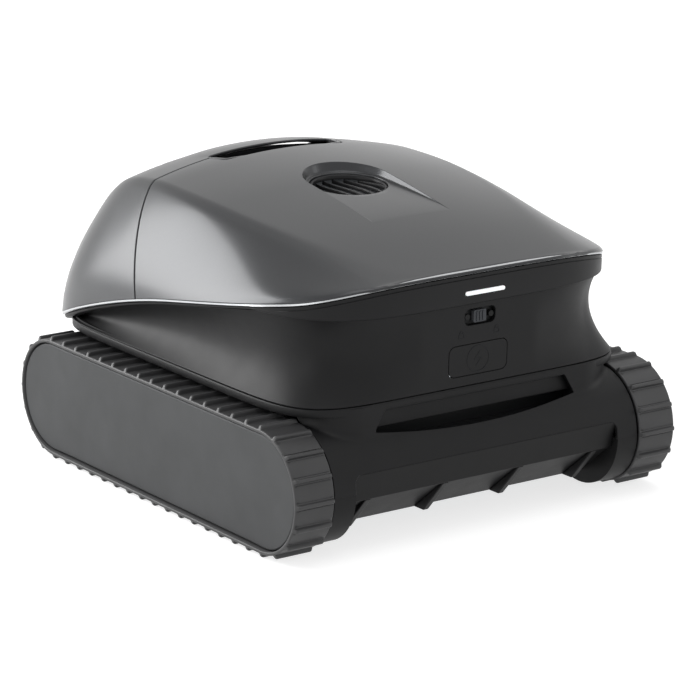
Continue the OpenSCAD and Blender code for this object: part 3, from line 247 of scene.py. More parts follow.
def ledge_low(y):
    return LEDGE_Z - LEDGE_DROP * (np.maximum(0, y - LEDGE_DROP_Y) / (LEDGE_REAR - LEDGE_DROP_Y)) ** 2


def brow_low(y):
    return np.minimum(brim_z(y) - 6, LEDGE_Z + BROW_RISE)


def roof_z(x, y):
    return LEDGE_Z + along(ROOF_Y, ROOF_H, y) - (0.00068 + 0.0000026 * y) * x * x


def crease_x(y):
    return BRIM_HALF_W * along(CREASE_Y, CREASE_SHARE, y)


def flank_z(x, y):
    c, b = crease_x(y), half_w(y)
    u = np.clip((b - np.abs(x)) / np.maximum(b - c, 0.01), 0, 50)
    bulge = 1 + along(FLANK_Y, FLANK_BULGE, y) * np.maximum(0, 1 - u)
    rise = u ** along(FLANK_Y, FLANK_POWER, y) * bulge
    return brim_z(y) + (roof_z(c, y) - brim_z(y)) * rise


def dome_z(x, y):
    """Height of the glossy shell at a place in plan."""
    tail = brim_z(y) + TAIL_GAIN * np.maximum(0, half_l(x) - y) ** TAIL_POWER
    top = soft_min(soft_min(roof_z(x, y), flank_z(x, y), CREASE_SOFT), tail, TAIL_SOFT)
    return np.maximum(brim_z(y), top)


def waist_point(angle, s, inset=0.0):
    """Point of the waist at share s of its height from the ledge to the brow."""
    low, high = ledge_outline(angle), brim_outline(angle, BROW_POWER) - 2 * BROW_OVER - 0.3
    hollow = WAIST_DEPTH * (0.07 + 0.93 * np.clip((np.abs(low * np.cos(angle)) - 60) / 80, 0, 1))
    r = mix(low, high, s) - hollow * 4 * s * (1 - s) - inset
    y = r * np.sin(angle)
    z = mix(ledge_low(y) + LEDGE_LIP, brow_low(y) - 0.3, s)
    return np.stack([r * np.cos(angle), y, z], -1)


def rounded(corners, radii, steps=6):
    """Outline with rounded corners; corners run counter-clockwise, one radius each."""
    points = []
    count = len(corners)
    for i, (corner, r) in enumerate(zip(corners, radii)):
        c = np.array(corner, float)
        a = np.array(corners[i - 1], float) - c
        b = np.array(corners[(i + 1) % count], float) - c
        a, b = a / np.linalg.norm(a), b / np.linalg.norm(b)
        half = math.acos(np.clip(a @ b, -1, 1)) / 2
        if r <= 0:
            points.append(c)
            continue
        centre = c + (a + b) / np.linalg.norm(a + b) * r / math.sin(half)
        start, end = c + a * r / math.tan(half) - centre, c + b * r / math.tan(half) - centre
        a0 = math.atan2(start[1], start[0])
        turn = (math.atan2(end[1], end[0]) - a0) % (2 * math.pi)
        for a in a0 + turn * np.arange(steps + 1) / steps:
            points.append(centre + r * np.array([math.cos(a), math.sin(a)]))
    return [tuple(p) for p in points]


def box_outline(cx, cz, half_x, half_z, r, steps=6):
    """Rectangle with rounded corners about a centre."""
    x0, x1, z0, z1 = cx - half_x, cx + half_x, cz - half_z, cz + half_z
    return rounded([(x0, z0), (x1, z0), (x1, z1), (x0, z1)], (r,) * 4, steps)


# ---------------------------------------------------------------- meshes

AROUND = 288


def round_angles(count):
    return np.linspace(0, 2 * math.pi, count, endpoint=False)


class Sheet:
    """A moulded skin: a fine surface that is trimmed, then given rolled edges and a back."""

    def __init__(self, rings, crown=None, closed=True):
        self.bm = bmesh.new()
        n = len(rings[0])
        verts = [[self.bm.verts.new(p) for p in ring] for ring in rings]
        for low, high in zip(verts, verts[1:]):
            for i in range(n if closed else n - 1):
                k = (i + 1) % n
                self.bm.faces.new((low[i], low[k], high[k], high[i]))
        if crown is not None:
            top = self.bm.verts.new(crown)
            for i in range(n):
                self.bm.faces.new((verts[-1][i], verts[-1][(i + 1) % n], top))
        self.bm.normal_update()
        self.layer = self.bm.verts.layers.float_vector.new("outward")
        for v in self.bm.verts:
            v[self.layer] = v.normal

    def trim(self, point, normal):
        """Removes what lies on the side that the normal points to."""
        bm = self.bm
        bmesh.ops.bisect_plane(bm, geom=bm.verts[:] + bm.edges[:] + bm.faces[:], dist=1e-5,
                               plane_co=point, plane_no=normal, clear_outer=True)

    def hole(self, points, axis="Z", near=None):
        """Cuts a convex outline out of the sheet; for axis Y the outline lies in X and Z."""
        bm = self.bm
        flat = (lambda c: (c.x, c.y)) if axis == "Z" else (lambda c: (c.x, c.z))
        lift = (lambda u, v: Vector((u, v, 0))) if axis == "Z" else (lambda u, v: Vector((u, 0, v)))
        pts = np.array(points)
        low, high = pts.min(0) - 12, pts.max(0) + 12
        inside = [f for f in bm.faces if (near is None or near(f.calc_center_median()))
                  and all(low[k] < flat(f.calc_center_median())[k] < high[k] for k in (0, 1))]
        for a, b in zip(points, points[1:] + points[:1]):
            out = Vector((b[1] - a[1], a[0] - b[0]))
            if out.length < 1e-6:
                continue
            out.normalize()
            geom = {g for f in inside for g in (f, *f.edges, *f.verts)}
            cut = bmesh.ops.bisect_plane(bm, geom=list(geom), dist=1e-5,
                                         plane_co=lift(*a), plane_no=lift(*out))
            inside = []
            for f in cut["geom"]:
                if isinstance(f, bmesh.types.BMFace):
                    u, v = flat(f.calc_center_median())
                    if (u - a[0]) * out.x + (v - a[1]) * out.y < 0:
                        inside.append(f)
        bmesh.ops.delete(bm, geom=inside, context="FACES")

    def close(self, thickness, radius, steps=4):
        """Points, faces and corner normals of the sheet with its edges rolled and its back closed.

        radius is a number, or a function of a point that gives one.
        """
        bm = self.bm
        bm.verts.index_update()
        points = np.array([v.co for v in bm.verts])
        normals = np.array([v[self.layer] for v in bm.verts])
        normals /= np.linalg.norm(normals, axis=1)[:, None]
        fronts = [[v.index for v in f.verts] for f in bm.faces]
        rims = []
        for e in bm.edges:
            if len(e.link_loops) == 1:
                loop = e.link_loops[0]
                rims.append((loop.vert.index, loop.link_loop_next.vert.index))
        total = len(points)
        side = np.zeros((total, 3))
        pieces = [[] for _ in range(total)]
        for a, b in rims:
            along_edge = points[b] - points[a]
            size = np.linalg.norm(along_edge)
            if size < 1e-9:
                continue
            out = np.cross(along_edge / size, normals[a] + normals[b])
            out /= np.linalg.norm(out)
            for k in (a, b):
                side[k] += out
                pieces[k].append(out)
        edge = sorted({k for rim in rims for k in rim})
        where = {k: i for i, k in enumerate(edge)}
        away = side[edge]
        away /= np.maximum(np.linalg.norm(away, axis=1), 1e-9)[:, None]
        away -= normals[edge] * np.sum(away * normals[edge], axis=1)[:, None]
        away /= np.maximum(np.linalg.norm(away, axis=1), 1e-9)[:, None]
        stretch = np.array([1 / max(0.6, float(w @ pieces[k][0])) if pieces[k] else 1
                            for w, k in zip(away, edge)])
        r = np.array([radius(points[k]) if callable(radius) else radius for k in edge])
        chains, chain_normals = [points[edge]], [normals[edge]]
        for k in range(1, steps + 1):
            t = math.pi / 2 * k / steps
            chains.append(points[edge] + away * (stretch * r * math.sin(t))[:, None]
                          - normals[edge] * (r * (1 - math.cos(t)))[:, None])
            chain_normals.append(normals[edge] * math.cos(t) + away * math.sin(t))
        foot = chains[-1] - normals[edge] * (thickness - r)[:, None]
        count = len(edge)
        all_points = np.concatenate([points] + chains[1:] + [foot, points - normals * thickness])
        back = total + count * (steps + 1)

        def at(k, v):
            return v if k == 0 else total + count * (k - 1) + where[v]

        faces, corner = list(fronts), [normals[v] for f in fronts for v in f]
        for a, b in rims:
            for k in range(steps):
                faces.append((at(k, b), at(k, a), at(k + 1, a), at(k + 1, b)))
                near, far = chain_normals[k], chain_normals[k + 1]
                corner += [near[where[b]], near[where[a]], far[where[a]], far[where[b]]]
            faces.append((at(steps, b), at(steps, a), at(steps + 1, a), at(steps + 1, b)))
            corner += [away[where[b]], away[where[a]], away[where[a]], away[where[b]]]
            faces.append((at(steps + 1, b), at(steps + 1, a), back + a, back + b))
            corner += [-normals[b], -normals[a], -normals[a], -normals[b]]
        for f in fronts:
            faces.append([back + v for v in reversed(f)])
            corner += [-normals[v] for v in reversed(f)]
        bm.free()
        return all_points, faces, corner


def tube_faces(rings, count, wrap_rings=False, flip=False):
    """Quads over a grid of rings of count points, each ring closed on itself."""
    faces = []
    for j in range(rings if wrap_rings else rings - 1):
        a, b = j * count, (j + 1) % rings * count
        for i in range(count):
            k = (i + 1) % count
            quad = (a + i, a + k, b + k, b + i)
            faces.append(quad[::-1] if flip else quad)
    return faces


def swept(rings, wrap=False, flip=False):
    """Solid through rings of equal count, capped at its ends or, with wrap, closed on itself."""
    count = len(rings[0])
    faces = tube_faces(len(rings), count, wrap, flip)
    if not wrap:
        last = (len(rings) - 1) * count
        start, end = tuple(range(count)), tuple(range(last, last + count))
        faces += [start, end[::-1]] if flip else [start[::-1], end]
    return np.concatenate(rings), faces


def join(parts):
    """One list of points and faces from several."""
    points, faces = [], []
    for p, f in parts:
        base = len(points)
        points += [tuple(q) for q in p]
        faces += [tuple(base + i for i in face) for face in f]
    return points, faces


def mirrored(points, faces):
    return [(-p[0], p[1], p[2]) for p in points], [tuple(reversed(f)) for f in faces]


def piece(name, solid, finish, body="chassis", replaces=(), sharp=35.0):
    """Object on a body, from points, faces and, for a sheet, corner normals.

    Faces are smooth, with edges kept where they turn by more than sharp degrees.
    """
    points, faces, *normals = solid
    mesh = bpy.data.meshes.new(name)
    mesh.from_pydata((np.asarray(points, float) * MM).tolist(), [], [tuple(map(int, f)) for f in faces])
    mesh.shade_smooth()
    if normals:
        mesh.normals_split_custom_set([tuple(n) for n in normals[0]])
    else:
        mesh.set_sharp_from_angle(angle=math.radians(sharp))
    mesh.materials.append(FINISH[finish])
    obj = bpy.data.objects.new(name, mesh)
    bpy.context.scene.collection.objects.link(obj)
    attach(obj, body)
    if replaces:
        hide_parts(*replaces)
    return obj


def bevelled(obj, width, segments=2, angle=35.0):
    """Adds a rounded edge to a piece."""
    mod = obj.modifiers.new("edges", "BEVEL")
    mod.width, mod.segments = width * MM, segments
    mod.limit_method, mod.angle_limit = "ANGLE", math.radians(angle)
    mod.harden_normals = True
    return obj


def softened(node, body, finish, width):
    """Copy of a part's solid with rounded edges, shown in its place."""
    bm = bmesh.new()
    bm.from_mesh(NODES[node].data)
    bmesh.ops.remove_doubles(bm, verts=bm.verts[:], dist=2e-6)
    bmesh.ops.dissolve_limit(bm, angle_limit=math.radians(0.5), verts=bm.verts[:], edges=bm.edges[:])
    bm.verts.index_update()
    solid = [tuple(v.co / MM) for v in bm.verts], [[v.index for v in f.verts] for f in bm.faces]
    bm.free()
    return bevelled(piece(node + "_moulded", solid, finish, body, replaces=(node,)), width)


# ---------------------------------------------------------------- finishes

FINISH = {}


class Nodes:
    """Short way to write a material's node tree."""

    def __init__(self, name):
        self.mat = bpy.data.materials.new(name)
        self.mat.use_nodes = True
        self.tree = self.mat.node_tree
        self.shader = self.tree.nodes["Principled BSDF"]
        self.place = self.add("ShaderNodeTexCoord").outputs["Object"]

    def add(self, kind, **values):
        node = self.tree.nodes.new(kind)
        for key, value in values.items():
            if key in node.inputs:
                node.inputs[key].default_value = value
            else:
                setattr(node, key, value)
        return node

    def link(self, a, b):
        self.tree.links.new(a, b)

    def stretched(self, scale):
        node = self.add("ShaderNodeMapping")
        node.inputs["Scale"].default_value = scale
        self.link(self.place, node.inputs["Vector"])
        return node.outputs["Vector"]

    def noise(self, scale, detail=3.0, vector=None):
        node = self.add("ShaderNodeTexNoise", Scale=scale, Detail=detail)
        self.link(vector or self.place, node.inputs["Vector"])
        return node.outputs["Fac"]

    def cells(self, scale, out="Distance"):
        node = self.add("ShaderNodeTexVoronoi", Scale=scale)
        self.link(self.place, node.inputs["Vector"])
        return node.outputs[out]

    def ramp(self, value, stops):
        node = self.add("ShaderNodeValToRGB")
        ramp = node.color_ramp
        while len(ramp.elements) < len(stops):
            ramp.elements.new(0.5)
        for element, (at, colour) in zip(ramp.elements, stops):
            element.position = at
            element.color = (*colour, 1)
        self.link(value, node.inputs["Fac"])
        return node.outputs["Color"]

    def span(self, value, low, high):
        node = self.add("ShaderNodeMapRange")
        node.inputs["To Min"].default_value, node.inputs["To Max"].default_value = low, high
        self.link(value, node.inputs["Value"])
        return node.outputs["Result"]

    def bump(self, height, strength, depth, under=None):
        node = self.add("ShaderNodeBump", Strength=strength, Distance=depth * MM)
        self.link(height, node.inputs["Height"])
        if under is not None:
            self.link(under, node.inputs["Normal"])
        return node.outputs["Normal"]


def linear(hex_colour):
    values = [int(hex_colour[k:k + 2], 16) / 255 for k in (0, 2, 4)]
    return tuple(v / 12.92 if v <= 0.04045 else ((v + 0.055) / 1.055) ** 2.4 for v in values)


def shade(colour, factor):
    return tuple(min(1.0, c * factor) for c in colour)


def metallic_gloss(name, colour, flake=1.0):
    """Dark metallic lacquer under a clear coat."""
    n = Nodes(name)
    flakes = n.cells(2600, out="Color")
    cloud = n.noise(9, 2)
    grey = n.add("ShaderNodeRGBToBW")
    n.link(flakes, grey.inputs["Color"])
    both = n.add("ShaderNodeMath", operation="MULTIPLY_ADD")
    n.link(grey.outputs["Val"], both.inputs[0])
    both.inputs[1].default_value = 0.75
    n.link(n.span(cloud, -0.1, 0.3), both.inputs[2])
    stops = [(0.0, shade(colour, 1 - 0.16 * flake)), (0.6, colour), (1.0, shade(colour, 1 + 0.35 * flake))]
    n.link(n.ramp(both.outputs[0], stops), n.shader.inputs["Base Color"])
    n.link(n.span(n.noise(1800, 2), 0.3, 0.4), n.shader.inputs["Roughness"])
    n.link(n.bump(n.noise(160, 2), 0.05, 0.12), n.shader.inputs["Normal"])
    n.shader.inputs["Metallic"].default_value = 0.8
    n.shader.inputs["Coat Weight"].default_value = 0.4
    n.shader.inputs["Coat Roughness"].default_value = 0.2
    return n.mat


def textured_plastic(name, colour, rough):
    """Moulded plastic with spark-eroded grain and faint handling marks."""
    n = Nodes(name)
    n.link(n.ramp(n.noise(22, 4), [(0.3, shade(colour, 0.9)), (0.7, shade(colour, 1.1))]),
           n.shader.inputs["Base Color"])
    n.link(n.span(n.noise(60, 5), rough - 0.05, rough + 0.06), n.shader.inputs["Roughness"])
    n.shader.inputs["Specular IOR Level"].default_value = 0.2
    fine = n.bump(n.noise(2200, 3), 0.35, 0.1)
    n.link(n.bump(n.noise(14, 2), 0.04, 0.6, fine), n.shader.inputs["Normal"])
    return n.mat


def satin_rubber(name, colour, rough):
    """Moulded rubber: soft sheen, faint dust in patches, fine skin."""
    n = Nodes(name)
    stops = [(0.35, shade(colour, 0.86)), (0.6, colour), (0.8, shade(colour, 1.25))]
    n.link(n.ramp(n.noise(35, 5), stops), n.shader.inputs["Base Color"])
    n.link(n.span(n.noise(90, 4), rough - 0.08, rough + 0.1), n.shader.inputs["Roughness"])
    skin = n.bump(n.noise(1500, 3), 0.3, 0.08)
    n.link(n.bump(n.cells(420), 0.08, 0.1, skin), n.shader.inputs["Normal"])
    return n.mat


def worked_metal(name, colour, rough):
    """Metal with fine tool marks across its run."""
    n = Nodes(name)
    marks = n.noise(1.0, 4, n.stretched((30, 900, 900)))
    n.link(n.ramp(marks, [(0.3, shade(colour, 0.82)), (0.7, shade(colour, 1.12))]),
           n.shader.inputs["Base Color"])
    n.link(n.span(marks, rough - 0.08, rough + 0.12), n.shader.inputs["Roughness"])
    n.link(n.bump(marks, 0.2, 0.05), n.shader.inputs["Normal"])
    n.shader.inputs["Metallic"].default_value = 1.0
    return n.mat


def white_lens(name, colour):
    """Milky lens that is lit from behind."""
    n = Nodes(name)
    n.link(n.ramp(n.noise(120, 2), [(0.3, shade(colour, 0.95)), (0.7, colour)]),
           n.shader.inputs["Base Color"])
    n.link(n.span(n.noise(500, 2), 0.18, 0.26), n.shader.inputs["Roughness"])
    n.shader.inputs["Emission Color"].default_value = (*colour, 1)
    n.shader.inputs["Emission Strength"].default_value = 0.55
    n.shader.inputs["Subsurface Weight"].default_value = 0.2
    n.shader.inputs["Subsurface Scale"].default_value = 0.002
    return n.mat


def closed_foam(name, colour):
    """Closed-cell foam with its beads."""
    n = Nodes(name)
    beads = n.cells(380)
    n.link(n.ramp(beads, [(0.0, colour), (0.6, shade(colour, 0.85))]), n.shader.inputs["Base Color"])
    n.link(n.span(beads, 0.75, 0.9), n.shader.inputs["Roughness"])
    n.link(n.bump(beads, 0.5, 0.5), n.shader.inputs["Normal"])
    return n.mat


def make_finishes():
    """Fills FINISH with one material for each slot of the record, and a few for small trim."""
    tone = bpy.context.scene.cleaner_finish
    shell, body, rubber = tuple(tone.shell), tuple(tone.body), tuple(tone.rubber)
    plastics = {
        # belly is the body colour darkened to 0.72: painted shade for the underbody and lower mouldings that
        # lie in shadow under the body
        "charcoal_body": (body, 0.46), "belly": (shade(body, 0.72), 0.5), "brow": (shade(body, 1.25), 0.42),
        "front_insert": (shade(body, 0.6), 0.42), "side_cover": (tuple(tone.covers), 0.5),
        "wheel_plastic": (linear("3a3b3d"), 0.45), "gear_plastic": (linear("d8d4c6"), 0.4),
        "guide_plastic": (linear("e4e2da"), 0.42), "frame_plastic": (linear("4a4c4f"), 0.5),
        "black_plastic": (linear("151617"), 0.4), "handle_core": (linear("232426"), 0.45),
        "duct_plastic": (linear("a4a7ab"), 0.45), "deck_plastic": (linear("5b5e63"), 0.5),
        "grille_plastic": (shade(body, 1.7), 0.34), "slider": (linear("4c4e52"), 0.4),
        "basket_plastic": (linear("3b6f86"), 0.42), "bail_plastic": (linear("4d4f53"), 0.45),
        "battery_case": (linear("44474b"), 0.5), "board_case": (linear("2d5f49"), 0.45),
        "impeller_plastic": (linear("d9d6cc"), 0.4), "latch_plastic": (linear("9a9da1"), 0.35),
    }
    for name, (colour, rough) in plastics.items():
        FINISH[name] = textured_plastic(name, colour, rough)
    for name, colour, rough in (("track_rubber", rubber, 0.46), ("seal_rubber", linear("1c1c1d"), 0.7),
                                ("brush_rubber", linear("2f6f8f"), 0.5)):
        FINISH[name] = satin_rubber(name, colour, rough)
    for name, colour, rough in (("motor_can", "8d9196", 0.34), ("pin_steel", "b4b8bd", 0.25),
                                ("axle_aluminium", "aab0b6", 0.3), ("tube_aluminium", "5f6368", 0.38),
                                ("contact_brass", "d8b45a", 0.25)):
        FINISH[name] = worked_metal(name, linear(colour), rough)
    FINISH["gloss_shell"] = metallic_gloss("gloss_shell", shell)
    FINISH["bright_trim"] = metallic_gloss("bright_trim", tuple(tone.trim), 0.4)
    FINISH["light_lens"] = white_lens("light_lens", tuple(tone.light))
    FINISH["foam"] = closed_foam("foam", linear("d7d3c6"))
    FINISH["icon_dark"] = textured_plastic("icon_dark", linear("17181a"), 0.5)


def dress_parts():
    """Gives every part of the frame the finish that its slot names."""
    slots = {part["node"]: part["material_slot"] for part in FRAME["record"]["subparts"]}
    for node, obj in NODES.items():
        mesh, finish = obj.data, FINISH[slots[node]]
        for k in range(len(mesh.materials)):
            mesh.materials[k] = finish
        if not mesh.materials:
            mesh.materials.append(finish)


# ---------------------------------------------------------------- glossy shell


def dome_rings():
    """Rings of the shell from the brim to the crown, with one ring along the crease on each side."""
    angle = round_angles(AROUND)
    r = brim_outline(angle)
    grid = np.linspace(0.2, 1, 400)[:, None]
    gx = grid * r * np.cos(angle)
    gy = grid * r * np.sin(angle) + (1 - grid) * DOME_Y
    beyond = np.abs(gx) > crease_x(gy)
    crease = np.where(beyond.any(0), grid[np.argmax(beyond, 0), 0], 0.93)
    crease = np.clip(crease, 0.3, 0.93)
    rings = []
    outside = (1, 0.97, 0.93, 0.875, 0.81, 0.74, 0.66, 0.57, 0.48, 0.39, 0.3, 0.22, 0.14, 0.07, 0)
    inside = (0.02, 0.045, 0.075, 0.11, 0.15, 0.195, 0.245, 0.3, 0.36, 0.42, 0.48, 0.54, 0.6, 0.66,
              0.72, 0.78, 0.84, 0.89, 0.93, 0.965)
    shares = [mix(crease, 1, s) for s in outside] + [crease * (1 - s) for s in inside]
    for f in shares:
        x = f * r * np.cos(angle)
        y = f * r * np.sin(angle) + (1 - f) * DOME_Y
        z = dome_z(x, y)
        if f is shares[0]:
            z = brim_z(y)
        rings.append(np.stack([x, y, z], -1))
    return rings


def strap_lift(x, y):
    """Extra height of the strap over the roof."""
    crown = np.clip(1 - (np.abs(x) / (SLOT_HALF_W + SLOT_STEP)) ** 4, 0, 1)
    along_strap = smooth(STRAP_FRONT, STRAP_FRONT + 6, y) * (1 - smooth(STRAP_REAR - 6, STRAP_REAR, y))
    return STRAP_LIFT * crown * along_strap


def dome_sheet(lifted=False):
    rings = dome_rings()
    if lifted:
        for ring in rings:
            ring[:, 2] += strap_lift(ring[:, 0], ring[:, 1])
    return Sheet(rings, (0, DOME_Y, float(dome_z(0.0, DOME_Y))))


def seam_plane(shift):
    """Point and normal of the shut line, moved back by shift."""
    normal = Vector((0, math.cos(SEAM_LEAN), -math.sin(SEAM_LEAN)))
    point = Vector((0, SEAM_Y, float(brim_z(SEAM_Y)))) + normal * shift
    return point, normal


def recess_outline():
    """Plan of the exhaust recess: a half circle behind, straight sides that run out in front."""
    r, front = RECESS_R, PUMP_Y - RECESS_RUN
    arc = [(r * math.cos(a), PUMP_Y + r * math.sin(a)) for a in np.linspace(0, math.pi, 49)]
    return arc + [(-r, front), (r, front)]


def by_recess(p):
    """True for a point on the edge that the exhaust recess leaves in the cover."""
    near = 0.5
    across = abs(p[0]) < RECESS_R + near
    lengthwise = PUMP_Y - RECESS_RUN - near < p[1] < PUMP_Y + RECESS_R + near
    return across and lengthwise and p[2] > LEDGE_Z + 120


def notch_outline(grow, radius, rear):
    """Plan of the notch that the front hand slot makes in the cover, from its left end to its right end."""
    w, y = NOTCH_HALF_W + grow, SLOT_FRONT - grow
    flare = NOTCH_FLARE * (rear - y)
    corners = [(-w - flare, rear), (-w, y), (w, y), (w + flare, rear)]
    return rounded(corners, (0, radius, radius, 0))


def shell_edges():
    """Edge radius of the shell and width of its shut line."""
    sizes = bpy.context.scene.cleaner_sizes
    return sizes.edge_roll / MM, sizes.seam_gap / MM


def cover_sheet():
    """Front part of the shell with the shut line, the exhaust and the hand notch cut out."""
    sheet = dome_sheet()
    roll, gap = shell_edges()
    point, normal = seam_plane(-gap / 2 - roll)
    sheet.trim(point, normal)
    sheet.hole(recess_outline())
    sheet.hole(notch_outline(roll, 9, SLOT_FRONT + 40))
    return sheet


def build_top_cover():
    roll = shell_edges()[0]
    solid = cover_sheet().close(SHELL_T, lambda p: 0.02 if by_recess(p) else roll)
    piece("top_cover_lacquered", solid, "gloss_shell", replaces=("top_cover",))


def build_lid():
    sheet = dome_sheet(lifted=True)
    roll, gap = shell_edges()
    point, normal = seam_plane(gap / 2 + roll)
    sheet.trim(point, -normal)
    w, v = LIP_END + roll, SLOT_HALF_W + SLOT_STEP + roll
    y0, y1, y2 = STRAP_FRONT + roll, STRAP_REAR - roll, SLOT_REAR + roll
    front = rounded([(-w, SEAM_Y), (w, SEAM_Y), (w, y0), (-w, y0)], (0, 0, 6, 6))
    rear = rounded([(-v, y1), (v, y1), (v, y2), (-v, y2)], (7, 7, 10, 10))
    sheet.hole(front, near=lambda c: c.z > LEDGE_Z + 100)
    sheet.hole(rear, near=lambda c: c.z > LEDGE_Z + 90)
    piece("rear_lid_lacquered", sheet.close(SHELL_T, roll), "gloss_shell", "lid",
          replaces=("rear_lid", "handle_strap"))


def build_slot_lip():
    """Narrow lip of the lid that runs round the notch past the shut line."""
    gap, rear = shell_edges()[1], STRAP_FRONT - 4
    profile = ((0, 3.4), (0, 0.7), (0.07, 0.25), (0.2, 0), (0.8, 0), (0.93, 0.25), (1, 0.7), (1, 3.4))
    rows = []
    for a, b in zip(notch_outline(-gap, 8, rear), notch_outline(-gap - LIP_W, 5.2, rear)):
        places = [(mix(np.array(a), np.array(b), share), drop) for share, drop in profile]
        rows.append([(x, y, float(dome_z(x, y)) - drop) for (x, y), drop in places])
    piece("slot_lip", swept(rows), "gloss_shell", "lid", sharp=40)


def build_lid_knuckles():
    """Knuckles of the lid with arms that run up inside the shell."""
    (y, z), r = hinge_axis(), KNUCKLE_R
    ring = [(y + r * math.sin(a), z + r * math.cos(a)) for a in np.linspace(-2.2, 2.2, 23)]
    profile = ring + [(y + r - 0.5, z + KNUCKLE_ARM), (y - 1, z + KNUCKLE_ARM)]
    knuckle = swept([[(x, *p) for p in profile] for x in KNUCKLE_X])
    bevelled(piece("lid_knuckles", join([knuckle, mirrored(*knuckle)]), "gloss_shell", "lid"), 0.6)


def hinge_axis():
    low, high = box_mm("hinge_pins")
    return (low[1] + high[1]) / 2, (low[2] + high[2]) / 2


def recess_depth(y):
    w = np.maximum(0, y - (PUMP_Y - RECESS_RUN))
    return 0.068 * w * w / (w + 15)


def build_recess():
    """Exhaust recess: floor that dives from nothing at the front to a wall behind the outlet."""
    sheet = cover_sheet()
    front, centre = PUMP_Y - RECESS_RUN, np.array([0, PUMP_Y])
    edges = [e for e in sheet.bm.edges if len(e.link_faces) == 1]
    rim = {tuple(v.co) for e in edges for v in e.verts if by_recess(v.co)}
    sheet.bm.free()
    rim = np.array(sorted(rim, key=lambda p: math.atan2(p[1] - PUMP_Y + 25, p[0])))
    apart = np.linalg.norm(rim - np.roll(rim, 1, 0), axis=1) > 0.05
    rim = rim[apart]

    def inset(d):
        q = rim[:, :2].copy()
        behind = q[:, 1] > PUMP_Y
        q[behind] = centre + (q[behind] - centre) * (RECESS_R - d) / RECESS_R
        q[~behind, 0] *= (RECESS_R - d) / RECESS_R
        q[~behind, 1] = front + d + (q[~behind, 1] - front) * (RECESS_RUN - d) / RECESS_RUN
        return q

    def floor(q, away):
        wall = 2.4 * (np.sqrt(away ** 2 + 0.09) - 0.3)
        deep = recess_depth(q[:, 1])
        sink = np.maximum(0, soft_min(deep, wall, np.minimum(1.2, 0.9 * deep) + 1e-6))
        return np.column_stack([q, dome_z(q[:, 0], q[:, 1]) - sink])

    slope = (0.15, 0.35, 0.6, 0.9, 1.3, 1.8, 2.4, 3.0, 3.6, 4.2, 4.8)
    rings = [rim] + [floor(inset(d), d) for d in slope]
    inner = inset(slope[-1])
    unit = (inner - centre) / np.linalg.norm(inner - centre, axis=1)[:, None]
    circle = centre + OUTLET_R * unit
    for t in np.linspace(0, 1, 12)[1:]:
        q = mix(inner, circle, t)
        rings.append(floor(q, slope[-1] + t * np.linalg.norm(circle - inner, axis=1)))
    edge = rings[-1]
    for shrink, drop in ((0.15, 0.03), (0.5, 0.22), (0.75, 0.55), (0.85, 1.0), (0.9, 3.0), (0.95, 6.0)):
        q = edge.copy()
        q[:, :2] -= unit * shrink
        q[:, 2] -= drop
        rings.append(q)
    piece("exhaust_recess_lacquered", Sheet(rings).close(1.8, 0.02, 1), "gloss_shell",
          replaces=("exhaust_recess",))


def outlet_level(x, y):
    return dome_z(np.asarray(x, float), np.asarray(y, float)) - recess_depth(np.asarray(y, float))


def build_grille():
    """Rim and bowed bars that stand in the outlet."""
    reach = OUTLET_R - 1.0
    angle = round_angles(96)
    rings = []
    for inset, drop in ((0, 5.5), (0, 2.2), (0.6, 1.6), (2.2, 1.6), (2.8, 2.2), (2.8, 5.5)):
        x, y = (reach - inset) * np.cos(angle), PUMP_Y + (reach - inset) * np.sin(angle)
        rings.append(np.column_stack([x, y, outlet_level(x, y) - drop]))
    parts = [swept(rings, wrap=True)]
    blade = ((-0.65, -3.2), (0.65, -3.2), (0.65, -0.35), (0.4, -0.08), (0, 0), (-0.4, -0.08), (-0.65, -0.35))
    for k in range(BLADES):
        x0 = (k - (BLADES - 1) / 2) * 2 * OUTLET_R / (BLADES + 1)
        half = math.sqrt((reach - 1.5) ** 2 - x0 ** 2)
        rows = []
        for t in np.linspace(-1, 1, 25):
            x, y = x0 + 0.09 * x0 * (1 - t * t), PUMP_Y + half * t
            top = float(outlet_level(x, y)) - 1.2 - 4.6 * smooth(-1, 1, t)
            rows.append([(x + u, y, top + v) for u, v in blade])
        parts.append(swept(rows, flip=True))
    piece("exhaust_grille_bowed", join(parts), "grille_plastic", replaces=("exhaust_grille",), sharp=50)


# ---------------------------------------------------------------- waist, brow and front controls


def build_waist():
    """Hollowed wall between the ledge and the brow, with its openings."""
    angle = round_angles(AROUND)
    sheet = Sheet([waist_point(angle, s) for s in np.linspace(0.012, 0.985, 42)])
    low, high = box_mm("charge_cover")
    charge = box_outline(0, (low[2] + high[2]) / 2, CHARGE_HALF_W + CHARGE_GAP, CHARGE_HALF_H + CHARGE_GAP, 7)
    switch = box_outline(0, SWITCH_Z, SWITCH_W / 2 + 0.6, SWITCH_H / 2 + 0.6, 5.6)
    for shape in (charge, switch):
        sheet.hole(shape, "Y", lambda c: c.y < -100)
    piece("waist_moulded", sheet.close(HOUSING_T, 0.6, 3), "charcoal_body", replaces=("upper_housing",))


def build_ledge_band():
    """Band under the waist, past a dark parting groove; in front it stands behind the upright face."""
    angle = round_angles(AROUND)
    r = ledge_outline(angle)
    y = r * np.sin(angle)
    rings = []
    for inset, z in ((24, 0), (1.2, 0), (0.35, 0.35), (0, 1.2), (0, 6), (0.3, 6.8), (1, 7.2), (3.2, 7.2),
                     (3.2, 10), (8, 10), (8, 3), (24, 3)):
        px, py = (r - inset) * np.cos(angle), (r - inset) * np.sin(angle)
        behind = np.where(py < 0, 1 - smooth(112, 136, np.abs(px)), 0)
        py = mix(py, np.maximum(py, FACE_Y + 0.25 + inset * 0.5), behind)
        rings.append(np.column_stack([px, py, ledge_low(y) + z]))
    piece("ledge_band", swept(rings, wrap=True), "charcoal_body", sharp=40)


